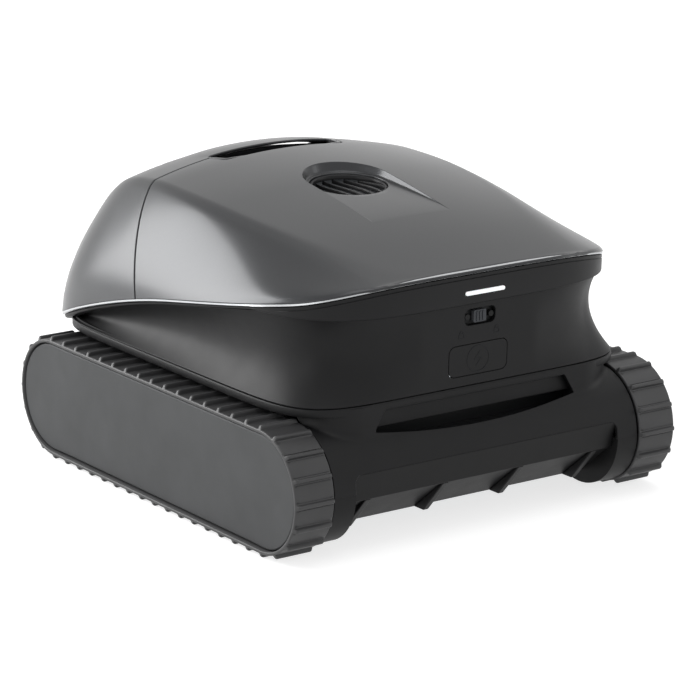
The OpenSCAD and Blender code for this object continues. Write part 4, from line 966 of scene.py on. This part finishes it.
def build_brow():
    """Strip under the shell's brim with a bright bevel along its top and a fine groove below it."""
    angle = round_angles(AROUND)
    r, r_low = brim_outline(angle), brim_outline(angle, BROW_POWER)
    y = r * np.sin(angle)
    top, low = brim_z(y) - 0.7, brow_low(y)
    lean = top - low

    def ring(inset, z):
        q = mix(r_low, r, np.clip((z - low) / lean, 0, 1)) - inset
        return np.column_stack([q * np.cos(angle), q * np.sin(angle), z])

    def face(drop):
        return 0.5 + (BROW_OVER - 0.5) * drop / lean

    under = np.minimum(3.4, lean - 2.2)
    line, cut = np.minimum(6.4, under + 0.45 * (lean - under)), 0.6 * smooth(8, 13, lean)
    strip = [ring(12, low), ring(BROW_OVER + 1.0, low), ring(BROW_OVER + 0.2, low + 0.4),
             ring(BROW_OVER, low + 1.2), ring(face(line + 0.5), top - line - 0.5),
             ring(face(line) + cut, top - line - 0.2), ring(face(line) + cut, top - line + 0.2),
             ring(face(line), top - line + 0.5), ring(face(under) + 0.1, top - under),
             ring(face(under) + 0.8, top - under + 0.2), ring(face(under) + 1.4, top - under + 0.6),
             ring(12, top - under + 0.6)]
    piece("brow_strip", swept(strip, wrap=True), "brow", replaces=("brow_trim",), sharp=40)
    bevel = [ring(12, top - under + 0.7), ring(face(under) + 0.7, top - under + 0.7),
             ring(0.8, top - under + 0.9), ring(0.25, top - under + 1.3), ring(0.3, top - 0.3),
             ring(0.9, top), ring(12, top)]
    piece("brow_bright_bevel", swept(bevel, wrap=True), "bright_trim", sharp=40)


def waist_surface():
    """Function that gives the Y of the waist's front face at (x, z)."""
    angle = np.linspace(-math.pi * 0.75, -math.pi * 0.25, 181)
    grid = [waist_point(angle, s) for s in np.linspace(0, 1, 61)]

    def front_y(x, z):
        places = np.array([[np.interp(x, row[:, 0], row[:, k]) for k in (1, 2)] for row in grid])
        return float(np.interp(z, places[:, 1], places[:, 0]))

    return front_y


WAIST_FRONT = waist_surface()


def front_patch(shape, thickness):
    """Plate flush with the waist's front face, on an outline in X and Z."""
    front = [(x, WAIST_FRONT(x, z), z) for x, z in shape]
    return swept([front, [(x, y + thickness, z) for x, y, z in front]], flip=True)


def inlay(path, half, proud):
    """Flat line of half width along a path in X and Z that stands proud of the waist."""
    path = np.array(path, float)
    run = np.gradient(path, axis=0)
    run /= np.maximum(np.linalg.norm(run, axis=1), 1e-9)[:, None]
    side = np.stack([-run[:, 1], run[:, 0]], -1)
    profile = ((-half, -0.5), (-half, proud), (half, proud), (half, -0.5))
    rows = []
    for p, s in zip(path, side):
        places = [(*(p + s * u), lift) for u, lift in profile]
        rows.append([(x, WAIST_FRONT(x, z) - lift, z) for x, z, lift in places])
    return swept(rows)


def upright(shape, y0, y1):
    """Solid on an outline in X and Z, from y0 back to y1."""
    return swept([[(x, y, z) for x, z in shape] for y in (y0, y1)])


def build_charge_cover():
    """Cover of the charging port, flush with the waist, with a ring and a spark on it."""
    low, high = box_mm("charge_cover")
    zc, r = (low[2] + high[2]) / 2, 11.4
    shape = box_outline(0, zc, CHARGE_HALF_W, CHARGE_HALF_H, CHARGE_CORNER_R, 8)
    plate = piece("charge_cover_moulded", front_patch(shape, 2.4), "charcoal_body", "charge_door",
                  replaces=("charge_cover",), sharp=30)
    bevelled(plate, 0.5, 3, 50)
    ring = [(r * math.cos(a), zc + r * math.sin(a)) for a in np.linspace(0, 2 * math.pi, 73)]
    spark = np.array([(1.8, 6.2), (-3.6, -0.6), (3.6, 0.6), (-1.8, -6.2)]) + (0, zc)
    dense = [mix(a, b, t) for a, b in zip(spark, spark[1:]) for t in np.linspace(0, 1, 7)[:-1]]
    symbol = join([inlay(ring, 0.4, 0.3), inlay(dense + [spark[-1]], 0.4, 0.3)])
    piece("charge_symbol", symbol, "icon_dark", "charge_door", sharp=50)


def build_switch():
    """Sunk window of the power switch, its ribbed slider and the two symbols below."""
    low, high = box_mm("switch_slider")
    z = (low[2] + high[2]) / 2
    face = WAIST_FRONT(0, z)
    w, h = SWITCH_W / 2, SWITCH_H / 2
    rows = []
    for grow, sink in ((0, 0.3), (0, 4.6), (1.6, 6.0), (1.6, 1.6)):
        shape = box_outline(0, z, w + grow, h + grow, 5 + grow, 8)
        rows.append([(x, face + sink, q) for x, q in shape])
    n = len(rows[0])
    faces = tube_faces(2, n) + [tuple(range(n, 2 * n)), tuple(range(2 * n, 3 * n))[::-1]]
    for i in range(n):
        k = (i + 1) % n
        faces += [(3 * n + i, 3 * n + k, 2 * n + k, 2 * n + i), (3 * n + i, 3 * n + k, k, i)]
    window = np.concatenate(rows), faces
    piece("switch_window", window, "black_plastic", replaces=("switch_bezel",), sharp=40)
    ends = [upright(box_outline(side * 12.4, z, 2.7, 2.7, 2.6), face + 1.0, face + 4.8) for side in (-1, 1)]
    bevelled(piece("switch_end_caps", join(ends), "front_insert"), 0.5, 3, 50)
    half_x, half_z = (high[0] - low[0]) / 2, (high[2] - low[2]) / 2
    parts = [upright(box_outline(0, z, half_x, half_z, 1.4), face + 0.1, face + 4.4)]
    for k in (-1, 0, 1):
        parts.append(upright(box_outline(k * 3.1, z, 0.75, half_z - 1.1, 0.7, 4), face - 1.0, face + 0.6))
    slider = piece("switch_slider_ribbed", join(parts), "slider", "switch", replaces=("switch_slider",))
    bevelled(slider, 0.3, 2, 50)
    marks = []
    for cx, end in ((-18.5, 0.0), (18.5, 0.35 * math.pi)):
        box = box_outline(cx, SYMBOLS_Z - 1.9, 2.6, 1.9, 0.6, 3)
        r, bow = 1.8, [(cx - 1.8, SYMBOLS_Z)]
        for a in np.linspace(math.pi, end, 11):
            bow.append((cx + r * math.cos(a), SYMBOLS_Z + 0.8 + r * math.sin(a)))
        if end == 0:
            bow.append((cx + r, SYMBOLS_Z))
        marks += [inlay(box + box[:1], 0.33, 0.2), inlay(bow, 0.33, 0.2)]
    piece("switch_symbols", join(marks), "icon_dark", sharp=50)


def build_status_light():
    """Rounded lens in the brow."""
    low, high = box_mm("status_light")
    w, h = (high[0] - low[0]) / 2, (high[2] - low[2]) / 2 - 0.3
    lens = upright(box_outline(0, (low[2] + high[2]) / 2, w, h, h - 0.05, 8), low[1] - 0.2, low[1] + 5)
    bevelled(piece("status_light_lens", lens, "light_lens", replaces=("status_light",)), 0.5, 3, 50)


# ---------------------------------------------------------------- front and lower body


def front_column(x):
    """Y and Z of the front housing's outer face at x, from the split line up to the ledge."""
    over = max(0.0, abs(x) - (BODY_HALF_W - FACE_CORNER_R))
    face = FACE_Y + FACE_CORNER_R - math.sqrt(max(0.0, FACE_CORNER_R ** 2 - over ** 2))
    cy = face - FACE_FILLET
    cz = AXLE_Z + math.sqrt(max(0.0, (BARREL_R + FACE_FILLET) ** 2 - (cy + AXLE_Y) ** 2))
    top = LEDGE_Z + 5.4
    touch = math.atan2(cz - AXLE_Z, cy + AXLE_Y)
    points = []
    for a in np.linspace(math.pi, touch, 30):
        points.append((BARREL_R * math.cos(a) - AXLE_Y, AXLE_Z + BARREL_R * math.sin(a)))
    for a in np.linspace(touch + math.pi, 2 * math.pi, 12)[1:]:
        points.append((cy + FACE_FILLET * math.cos(a), cz + FACE_FILLET * math.sin(a)))
    for z in np.linspace(cz, max(top, cz + 0.01), 6)[1:]:
        points.append((face, z))
    clipped = [p for p in points if p[1] <= top]
    beyond = points[len(clipped):]
    if beyond and clipped[-1][1] < top:
        (y0, z0), (y1, z1) = clipped[-1], beyond[0]
        clipped.append((mix(y0, y1, (top - z0) / (z1 - z0)), top))
    return clipped


def resample(points, count):
    """The same polyline as count points, evenly spaced along it."""
    points = np.array(points, float)
    step = np.linalg.norm(np.diff(points, axis=0), axis=1)
    s = np.concatenate([[0], np.cumsum(step)])
    want = np.linspace(0, s[-1], count)
    return np.column_stack([np.interp(want, s, points[:, k]) for k in range(points.shape[1])])


def build_front_housing():
    """Barrel, fillet and upright face, with the finger grip and the panel's opening cut into them."""
    end, middle, rows = BODY_HALF_W - 0.6, 116, 64
    flank = np.linspace(BODY_HALF_W, middle, 26)[:-1]
    xs = np.clip(np.concatenate([-flank, np.linspace(-middle, middle, 60), flank[::-1]]), -end, end)
    grid = np.array([np.column_stack([np.full(rows, x), resample(front_column(x), rows)]) for x in xs])
    sheet = Sheet([grid[:, j] for j in range(rows)], closed=False)
    w, p = GRIP_HALF_W, PANEL_HALF_W
    lip = [(x, 92.4 + 7.2 * (x / w) ** 2) for x in np.linspace(-w, w, 29)]
    grip = rounded(lip + [(w - 11.5, GRIP_TOP), (11.5 - w, GRIP_TOP)], [1.5] + [0] * 27 + [1.5, 8, 8])
    panel = rounded([(-p, 40), (p, 40), (p, PANEL_TOP), (-p, PANEL_TOP)], (0, 0, 8, 8))
    sheet.hole(grip, "Y", lambda c: c.y < -185 and c.z > 85)
    sheet.hole(panel, "Y", lambda c: c.y < -195 and c.z < 80)
    piece("front_housing_moulded", sheet.close(HOUSING_T, 0.7, 3), "charcoal_body",
          replaces=("front_housing",))


def build_grip():
    """Inset panel over the finger grip, and the dark hollow under it."""
    y, low, top = FACE_Y + 7.5, 100.8, GRIP_TOP + 2.5
    shape = box_outline(0, (low + top) / 2, 107, (top - low) / 2, 1.5, 4)
    bevelled(piece("grip_panel", upright(shape, y, y + 2.5), "charcoal_body"), 1.2, 3, 50)
    x0, z0, y0, y1 = 107.6, 88.0, FACE_Y + 2.6, FACE_Y + 17
    inner = [(x, y, z) for y in (y0, y1) for x, z in ((-x0, z0), (x0, z0), (x0, top), (-x0, top))]
    wall = 1.3
    grown = [(x * 1.012, y + (wall if y == y1 else 0), z + (-wall if z == z0 else wall)) for x, y, z in inner]
    faces = [(0, 1, 5, 4), (1, 2, 6, 5), (3, 0, 4, 7), (4, 5, 6, 7), (2, 3, 7, 6)]
    faces += [tuple(8 + i for i in reversed(f)) for f in faces]
    faces += [(0, 3, 11, 8), (3, 2, 10, 11), (2, 1, 9, 10), (1, 0, 8, 9)]
    piece("grip_hollow", (inner + grown, faces), "black_plastic", sharp=20)


def build_lower_body():
    """Mouldings of the lower body with rounded edges."""
    for node, finish, width in (("front_panel", "front_insert", 0.8), ("front_ribs", "charcoal_body", 0.9),
                                ("front_underbody", "belly", 0.6), ("rear_housing", "belly", 1.5)):
        softened(node, "chassis", finish, width)


# ---------------------------------------------------------------- tracks

BELT_R = AXLE_Z - LUG_H
LOOP = 4 * AXLE_Y + 2 * math.pi * BELT_R


def on_belt(s):
    """Y, Z and outward direction of the belt's face, at distance s from the middle of the top run."""
    s = s % LOOP
    arc = math.pi * BELT_R
    if s < AXLE_Y:
        return -s, BELT_R, 0.0, 1.0
    if s < AXLE_Y + arc:
        a = (s - AXLE_Y) / BELT_R
        return -AXLE_Y - BELT_R * math.sin(a), BELT_R * math.cos(a), -math.sin(a), math.cos(a)
    if s < 3 * AXLE_Y + arc:
        return s - arc - 2 * AXLE_Y, -BELT_R, 0.0, -1.0
    if s < 3 * AXLE_Y + 2 * arc:
        a = (s - 3 * AXLE_Y - arc) / BELT_R
        return AXLE_Y + BELT_R * math.sin(a), -BELT_R * math.cos(a), math.sin(a), -math.cos(a)
    return LOOP - s, BELT_R, 0.0, 1.0


def belt_solid():
    """Belt of the right track: pads between rounded lugs, bevelled rims and a guide rib."""
    x0, width = BELT_LOW[0], BELT_HIGH[0] - BELT_LOW[0]
    rim = np.array([0, 0.35, 0.9, 1.3, 1.9, 2.8, 4.2, 8])
    across = np.concatenate([rim, [width / 2], width - rim[::-1]])
    edge = np.minimum(across, width - across)
    base = np.interp(edge, [0, 0.35, 0.9], [-0.9, -0.3, 0.0])
    crown = np.sqrt(np.clip(1 - (1 - np.clip((edge - 0.8) / 2.2, 0, 1)) ** 2, 0, 1))
    offsets = np.array([0, 1.0, 1.45, 1.75, 1.95, 2.1, 2.9, 3.2, 3.5, 6.5])
    bump = np.array([1, 0.97, 0.85, 0.6, 0.25, 0.04, 0.0, -0.1, 0.0, 0.0])
    pitch = LOOP / LUG_COUNT
    places = np.concatenate([-offsets[:0:-1], offsets, [pitch / 2]])
    heights = np.concatenate([bump[:0:-1], bump, [0]])
    half = [(0, BELT_T - 0.5), (0.5, BELT_T), (width / 2 - 2.5, BELT_T), (width / 2 - 1.9, BELT_T + 4)]
    inner = [(width - u, -v) for u, v in half] + [(u, -v) for u, v in half[::-1]]
    rows = []
    for k in range(LUG_COUNT):
        for place, up in zip(places, heights):
            y, z, ny, nz = on_belt(k * pitch + place)
            ring = [(u, b + LUG_H * up * c) for u, b, c in zip(across, base, crown)] + inner
            rows.append([(x0 + u, y + ny * v, AXLE_Z + z + nz * v) for u, v in ring])
    return swept(rows, wrap=True)


def build_belts():
    right = belt_solid()
    for side, solid in (("right", right), ("left", mirrored(*right))):
        piece("belt_" + side + "_lugged", solid, "track_rubber", replaces=("belt_" + side,), sharp=50)


def build_side_covers():
    """Track covers with a rounded rim and a crease that bows up along the lower part."""
    x_face, r = SIDE_HIGH[0], (SIDE_HIGH[2] - SIDE_LOW[2]) / 2 - COVER_ROLL
    low, high = AXLE_Z - r, AXLE_Z + r
    share, below_count = 0.394, 12
    levels = np.concatenate([np.linspace(0, share, below_count + 1)[:-1], np.linspace(share, 1, 19)])
    flat = AXLE_Z - r * np.cos(math.pi * levels)
    kink = flat[below_count]
    u = np.sin(np.linspace(-math.pi / 2, math.pi / 2, 91))
    rows = []
    for z_flat in flat:
        z = np.full(len(u), z_flat)
        for _ in range(20):
            y = u * (AXLE_Y + np.sqrt(np.clip(r ** 2 - (z - AXLE_Z) ** 2, 0, None)))
            crease = np.interp(y, COVER_CREASE_Y, COVER_CREASE_Z)
            if z_flat <= kink:
                z = mix(low, crease, (z_flat - low) / (kink - low))
            else:
                z = mix(crease, high, (z_flat - kink) / (high - kink))
            z = np.clip(z, low, high)
        fade = 1 - smooth(140, 212, np.abs(y))
        below = np.clip((crease - z) / (crease - low), 0, 1)
        rows.append(np.column_stack([x_face - 2.6 * below * (0.25 + 0.75 * fade), y, z]))
    thickness = x_face - COVER_BACK - 2.4
    points, faces, normals = Sheet(rows, closed=False).close(thickness, COVER_ROLL, 5)
    pair = join([(points, faces), mirrored(points, faces)])
    at = 0
    for f in faces:
        normals += [(-n[0], n[1], n[2]) for n in normals[at:at + len(f)][::-1]]
        at += len(f)
    piece("side_covers_creased", (*pair, normals), "side_cover", replaces=("side_covers",))


# ---------------------------------------------------------------- inside parts


def build_inside():
    """Rounded copies of the parts seen in the hand slots and under the open lid."""
    for node, body, finish, width in (
        ("handle_pocket", "lid", "black_plastic", 0.8), ("handle_bar", "lid", "handle_core", 1.5),
        ("lid_latch", "latch", "latch_plastic", 1.0), ("filter_basket", "chassis", "basket_plastic", 0.7),
        ("basket_bail", "chassis", "bail_plastic", 1.2), ("battery_pack", "chassis", "battery_case", 2.5),
        ("control_box", "chassis", "board_case", 2.0), ("float_blocks", "chassis", "foam", 2.5),
        ("hinge_base", "chassis", "belly", 0.5), ("pump_deck", "chassis", "deck_plastic", 0.6),
        ("charge_socket", "chassis", "black_plastic", 0.4),
    ):
        softened(node, body, finish, width)


# ---------------------------------------------------------------- studio


def seen_directly(tree):
    """Value that is 1 for camera, glossy and transmission rays, and 0 for light on the object."""
    path = tree.nodes.new("ShaderNodeLightPath")
    value = path.outputs["Is Camera Ray"]
    for name in ("Is Glossy Ray", "Is Transmission Ray"):
        larger = tree.nodes.new("ShaderNodeMath")
        larger.operation = "MAXIMUM"
        tree.links.new(value, larger.inputs[0])
        tree.links.new(path.outputs[name], larger.inputs[1])
        value = larger.outputs[0]
    return value


def floor_material(colour, glow):
    """Matt floor that looks white past the object's shadow, and plain to the light that it throws back."""
    mat = bpy.data.materials.new("studio_floor")
    mat.use_nodes = True
    tree = mat.node_tree
    shader = tree.nodes["Principled BSDF"]
    noise = tree.nodes.new("ShaderNodeTexNoise")
    noise.inputs["Scale"].default_value = 6
    ramp = tree.nodes.new("ShaderNodeValToRGB")
    ramp.color_ramp.elements[0].color = (*shade(colour, 0.985), 1)
    ramp.color_ramp.elements[1].color = (*colour, 1)
    tree.links.new(noise.outputs["Fac"], ramp.inputs["Fac"])
    tree.links.new(ramp.outputs["Color"], shader.inputs["Base Color"])
    shader.inputs["Roughness"].default_value = 0.9
    shader.inputs["Specular IOR Level"].default_value = 0.1
    shader.inputs["Emission Color"].default_value = (1, 1, 1, 1)
    strength = tree.nodes.new("ShaderNodeMath")
    strength.operation = "MULTIPLY"
    strength.inputs[1].default_value = glow
    tree.links.new(seen_directly(tree), strength.inputs[0])
    tree.links.new(strength.outputs[0], shader.inputs["Emission Strength"])
    return mat


def add_object(name, data):
    obj = bpy.data.objects.new(name, data)
    bpy.context.scene.collection.objects.link(obj)
    return obj


def lamp(name, place, target, width, height, power):
    """Rectangular soft light at place, turned to target; metres and watts."""
    data = bpy.data.lights.new(name, "AREA")
    data.shape, data.size, data.size_y, data.energy = "RECTANGLE", width, height, power
    obj = add_object(name, data)
    obj.location = place
    obj.rotation_euler = (Vector(target) - Vector(place)).to_track_quat("-Z", "Y").to_euler()


def build_backdrop(studio):
    """World that lights the room evenly and looks white."""
    world = bpy.data.worlds.new("studio_world")
    bpy.context.scene.world = world
    world.use_nodes = True
    tree = world.node_tree
    room, seen = tree.nodes["Background"], tree.nodes.new("ShaderNodeBackground")
    blend = tree.nodes.new("ShaderNodeMixShader")
    tree.links.new(seen_directly(tree), blend.inputs["Fac"])
    for k, (node, strength) in enumerate(((room, studio.room), (seen, 1.0))):
        node.inputs["Color"].default_value = (1, 1, 1, 1)
        node.inputs["Strength"].default_value = strength
        tree.links.new(node.outputs[0], blend.inputs[k + 1])
    tree.links.new(blend.outputs[0], tree.nodes["World Output"].inputs["Surface"])


def build_floor(studio):
    r, count = studio.floor_radius, 96
    mesh = bpy.data.meshes.new("floor")
    disc = [(r * math.cos(a), r * math.sin(a), 0) for a in round_angles(count)]
    mesh.from_pydata(disc, [], [tuple(range(count))])
    mesh.materials.append(floor_material(tuple(studio.floor), studio.floor_glow))
    add_object("floor", mesh)


def build_camera(studio):
    az, el = math.radians(studio.azimuth), math.radians(studio.elevation)
    back = Vector((math.sin(az) * math.cos(el), -math.cos(az) * math.cos(el), math.sin(el)))
    data = bpy.data.cameras.new("camera")
    data.lens, data.sensor_width, data.clip_end = studio.lens, 36, 50
    data.shift_x, data.shift_y = studio.shift_x, studio.shift_y
    camera = add_object("camera", data)
    camera.location = Vector((0, 0, AXLE_Z * MM)) + back * studio.distance
    camera.rotation_euler = (-back).to_track_quat("-Z", "Y").to_euler()
    bpy.context.scene.camera = camera


def build_studio():
    """Floor, backdrop, soft lights and camera."""
    studio = bpy.context.scene.cleaner_studio
    bpy.context.scene.view_settings.view_transform = "Standard"
    build_backdrop(studio)
    build_floor(studio)
    lamp("flank_softbox", (-1.53, 1.82, 1.06), (-0.15, 0, 0.2), 1.4, 1.7, studio.flank)
    lamp("left_softbox", (-2.6, -0.5, 0.9), (0, 0, 0.1), 1.6, 1.2, studio.side)
    lamp("top_softbox", (0.3, -0.3, 2.6), (0, 0, 0.15), 2.0, 1.6, studio.top)
    lamp("right_strip", (2.2, -1.2, 0.5), (0, 0, 0.1), 0.6, 1.4, studio.strip)
    build_camera(studio)


# ---------------------------------------------------------------- add-on


def length(name, text, default, low, high):
    return FloatProperty(name=name, description=text, default=default, min=low, max=high,
                         subtype="DISTANCE", unit="LENGTH", precision=4)


def colour(name, text, default):
    return FloatVectorProperty(name=name, description=text, default=default, size=3, min=0, max=1,
                               subtype="COLOR")


def number(name, text, default, low, high):
    return FloatProperty(name=name, description=text, default=default, min=low, max=high)


class CleanerSizes(PropertyGroup):
    """Small sizes of the dressed mouldings."""

    edge_roll: length("Shell edge radius", "Rounding of the glossy shell's edges", 0.0011, 0.0005, 0.002)
    seam_gap: length("Shut line", "Gap between the top cover and the lid", 0.0011, 0.0006, 0.0015)


class CleanerFinish(PropertyGroup):
    """Colours of the main finishes."""

    shell: colour("Shell", "Lacquer of the top shell", linear("2e2f31"))
    body: colour("Body", "Moulded plastic of the waist and front", linear("141415"))
    covers: colour("Track covers", "Plastic of the track covers", linear("434445"))
    rubber: colour("Belts", "Rubber of the belts", linear("353536"))
    trim: colour("Bright bevel", "Bevel under the shell's brim", linear("b9bbbd"))
    light: colour("Status light", "Lens of the status light", linear("f4f6f8"))


class CleanerStudio(PropertyGroup):
    """Floor, lights and camera."""

    floor: colour("Floor", "Colour of the studio floor", linear("bcbcbc"))
    floor_radius: length("Floor radius", "Radius of the floor disc", 6.0, 2.0, 12.0)
    floor_glow: number("Floor glow", "Share of white that the camera sees in the floor's shadow", 0.74, 0, 1)
    room: number("Room light", "Strength of the even light from all sides", 0.6, 0, 2)
    flank: number("Flank softbox", "Power of the softbox behind on the left, in watts", 58, 0, 500)
    side: number("Left softbox", "Power of the softbox on the left, in watts", 10, 0, 500)
    top: number("Top softbox", "Power of the softbox overhead, in watts", 16, 0, 500)
    strip: number("Right strip", "Power of the strip light on the right, in watts", 6, 0, 500)
    azimuth: number("Azimuth", "Camera angle round the cleaner, in degrees", -34.931, -180, 180)
    elevation: number("Elevation", "Camera angle over the horizon, in degrees", 16.39, -90, 90)
    distance: length("Distance", "Camera distance from the middle of the tracks", 3.14394, 0.5, 10)
    lens: number("Lens", "Focal length in millimetres", 182.04, 10, 500)
    shift_x: number("Shift across", "Share of the frame by which the view is shifted sideways", 0.0102, -1, 1)
    shift_y: number("Shift up", "Share of the frame by which the view is shifted up", 0.0827, -1, 1)


class Maker:
    """What the operators share: each runs its builders in order."""

    bl_options = {"REGISTER", "UNDO"}
    builders = ()

    def execute(self, context):
        for build in self.builders:
            build()
        return {"FINISHED"}


class CLEANER_OT_finishes(Maker, Operator):
    """Makes the finishes and gives them to the parts"""

    bl_idname = "cleaner.finishes"
    bl_label = "Finishes"
    builders = (make_finishes, dress_parts)


class CLEANER_OT_top_cover(Maker, Operator):
    """Glossy front part of the shell with the handle's notch"""

    bl_idname = "cleaner.top_cover"
    bl_label = "Top cover"
    builders = (build_top_cover,)


class CLEANER_OT_lid(Maker, Operator):
    """Hinged rear lid with its hand slots and strap"""

    bl_idname = "cleaner.lid"
    bl_label = "Rear lid"
    builders = (build_lid, build_slot_lip, build_lid_knuckles)


class CLEANER_OT_exhaust(Maker, Operator):
    """Recess and grille of the water outlet"""

    bl_idname = "cleaner.exhaust"
    bl_label = "Exhaust"
    builders = (build_recess, build_grille)


class CLEANER_OT_waist(Maker, Operator):
    """Hollowed waist and the band under it"""

    bl_idname = "cleaner.waist"
    bl_label = "Waist"
    builders = (build_waist, build_ledge_band)


class CLEANER_OT_brow(Maker, Operator):
    """Strip and bright bevel under the shell's brim"""

    bl_idname = "cleaner.brow"
    bl_label = "Brow"
    builders = (build_brow,)


class CLEANER_OT_controls(Maker, Operator):
    """Status light, power switch and charging cover"""

    bl_idname = "cleaner.controls"
    bl_label = "Front controls"
    builders = (build_status_light, build_switch, build_charge_cover)


class CLEANER_OT_front_housing(Maker, Operator):
    """Front barrel with the finger grip"""

    bl_idname = "cleaner.front_housing"
    bl_label = "Front housing"
    builders = (build_front_housing, build_grip)


class CLEANER_OT_lower_body(Maker, Operator):
    """Panel, ribs and mouldings of the lower body"""

    bl_idname = "cleaner.lower_body"
    bl_label = "Lower body"
    builders = (build_lower_body,)


class CLEANER_OT_belts(Maker, Operator):
    """Lugged belts of both tracks"""

    bl_idname = "cleaner.belts"
    bl_label = "Belts"
    builders = (build_belts,)


class CLEANER_OT_side_covers(Maker, Operator):
    """Creased covers of both tracks"""

    bl_idname = "cleaner.side_covers"
    bl_label = "Side covers"
    builders = (build_side_covers,)


class CLEANER_OT_inside(Maker, Operator):
    """Parts seen in the hand slots and under the open lid"""

    bl_idname = "cleaner.inside"
    bl_label = "Inside parts"
    builders = (build_inside,)


class CLEANER_OT_studio(Maker, Operator):
    """Floor, lights and camera"""

    bl_idname = "cleaner.studio"
    bl_label = "Studio"
    builders = (build_studio,)


STEPS = (CLEANER_OT_finishes, CLEANER_OT_top_cover, CLEANER_OT_lid, CLEANER_OT_exhaust,
         CLEANER_OT_waist, CLEANER_OT_brow, CLEANER_OT_controls, CLEANER_OT_front_housing,
         CLEANER_OT_lower_body, CLEANER_OT_belts, CLEANER_OT_side_covers, CLEANER_OT_inside,
         CLEANER_OT_studio)


class VIEW3D_PT_cleaner(Panel):
    """Lists the pieces of the pool cleaner"""

    bl_label = "Pool Cleaner"
    bl_space_type = "VIEW_3D"
    bl_region_type = "UI"
    bl_category = "Pool Cleaner"

    def draw(self, context):
        for step in STEPS:
            self.layout.operator(step.bl_idname)
        for name in GROUPS:
            group = getattr(context.scene, name)
            column = self.layout.column(align=True)
            for key in group.__annotations__:
                column.prop(group, key)


CLASSES = (CleanerSizes, CleanerFinish, CleanerStudio, *STEPS, VIEW3D_PT_cleaner)
GROUPS = {"cleaner_sizes": CleanerSizes, "cleaner_finish": CleanerFinish, "cleaner_studio": CleanerStudio}


def register():
    for cls in CLASSES:
        bpy.utils.register_class(cls)
    for name, group in GROUPS.items():
        setattr(bpy.types.Scene, name, PointerProperty(type=group))


def unregister():
    for name in GROUPS:
        delattr(bpy.types.Scene, name)
    for cls in reversed(CLASSES):
        bpy.utils.unregister_class(cls)


def main():
    register()
    for step in STEPS:
        space, name = step.bl_idname.split(".")
        if getattr(getattr(bpy.ops, space), name)() != {"FINISHED"}:
            raise RuntimeError(step.bl_label + " could not be made")


if __name__ == "__main__":
    main()
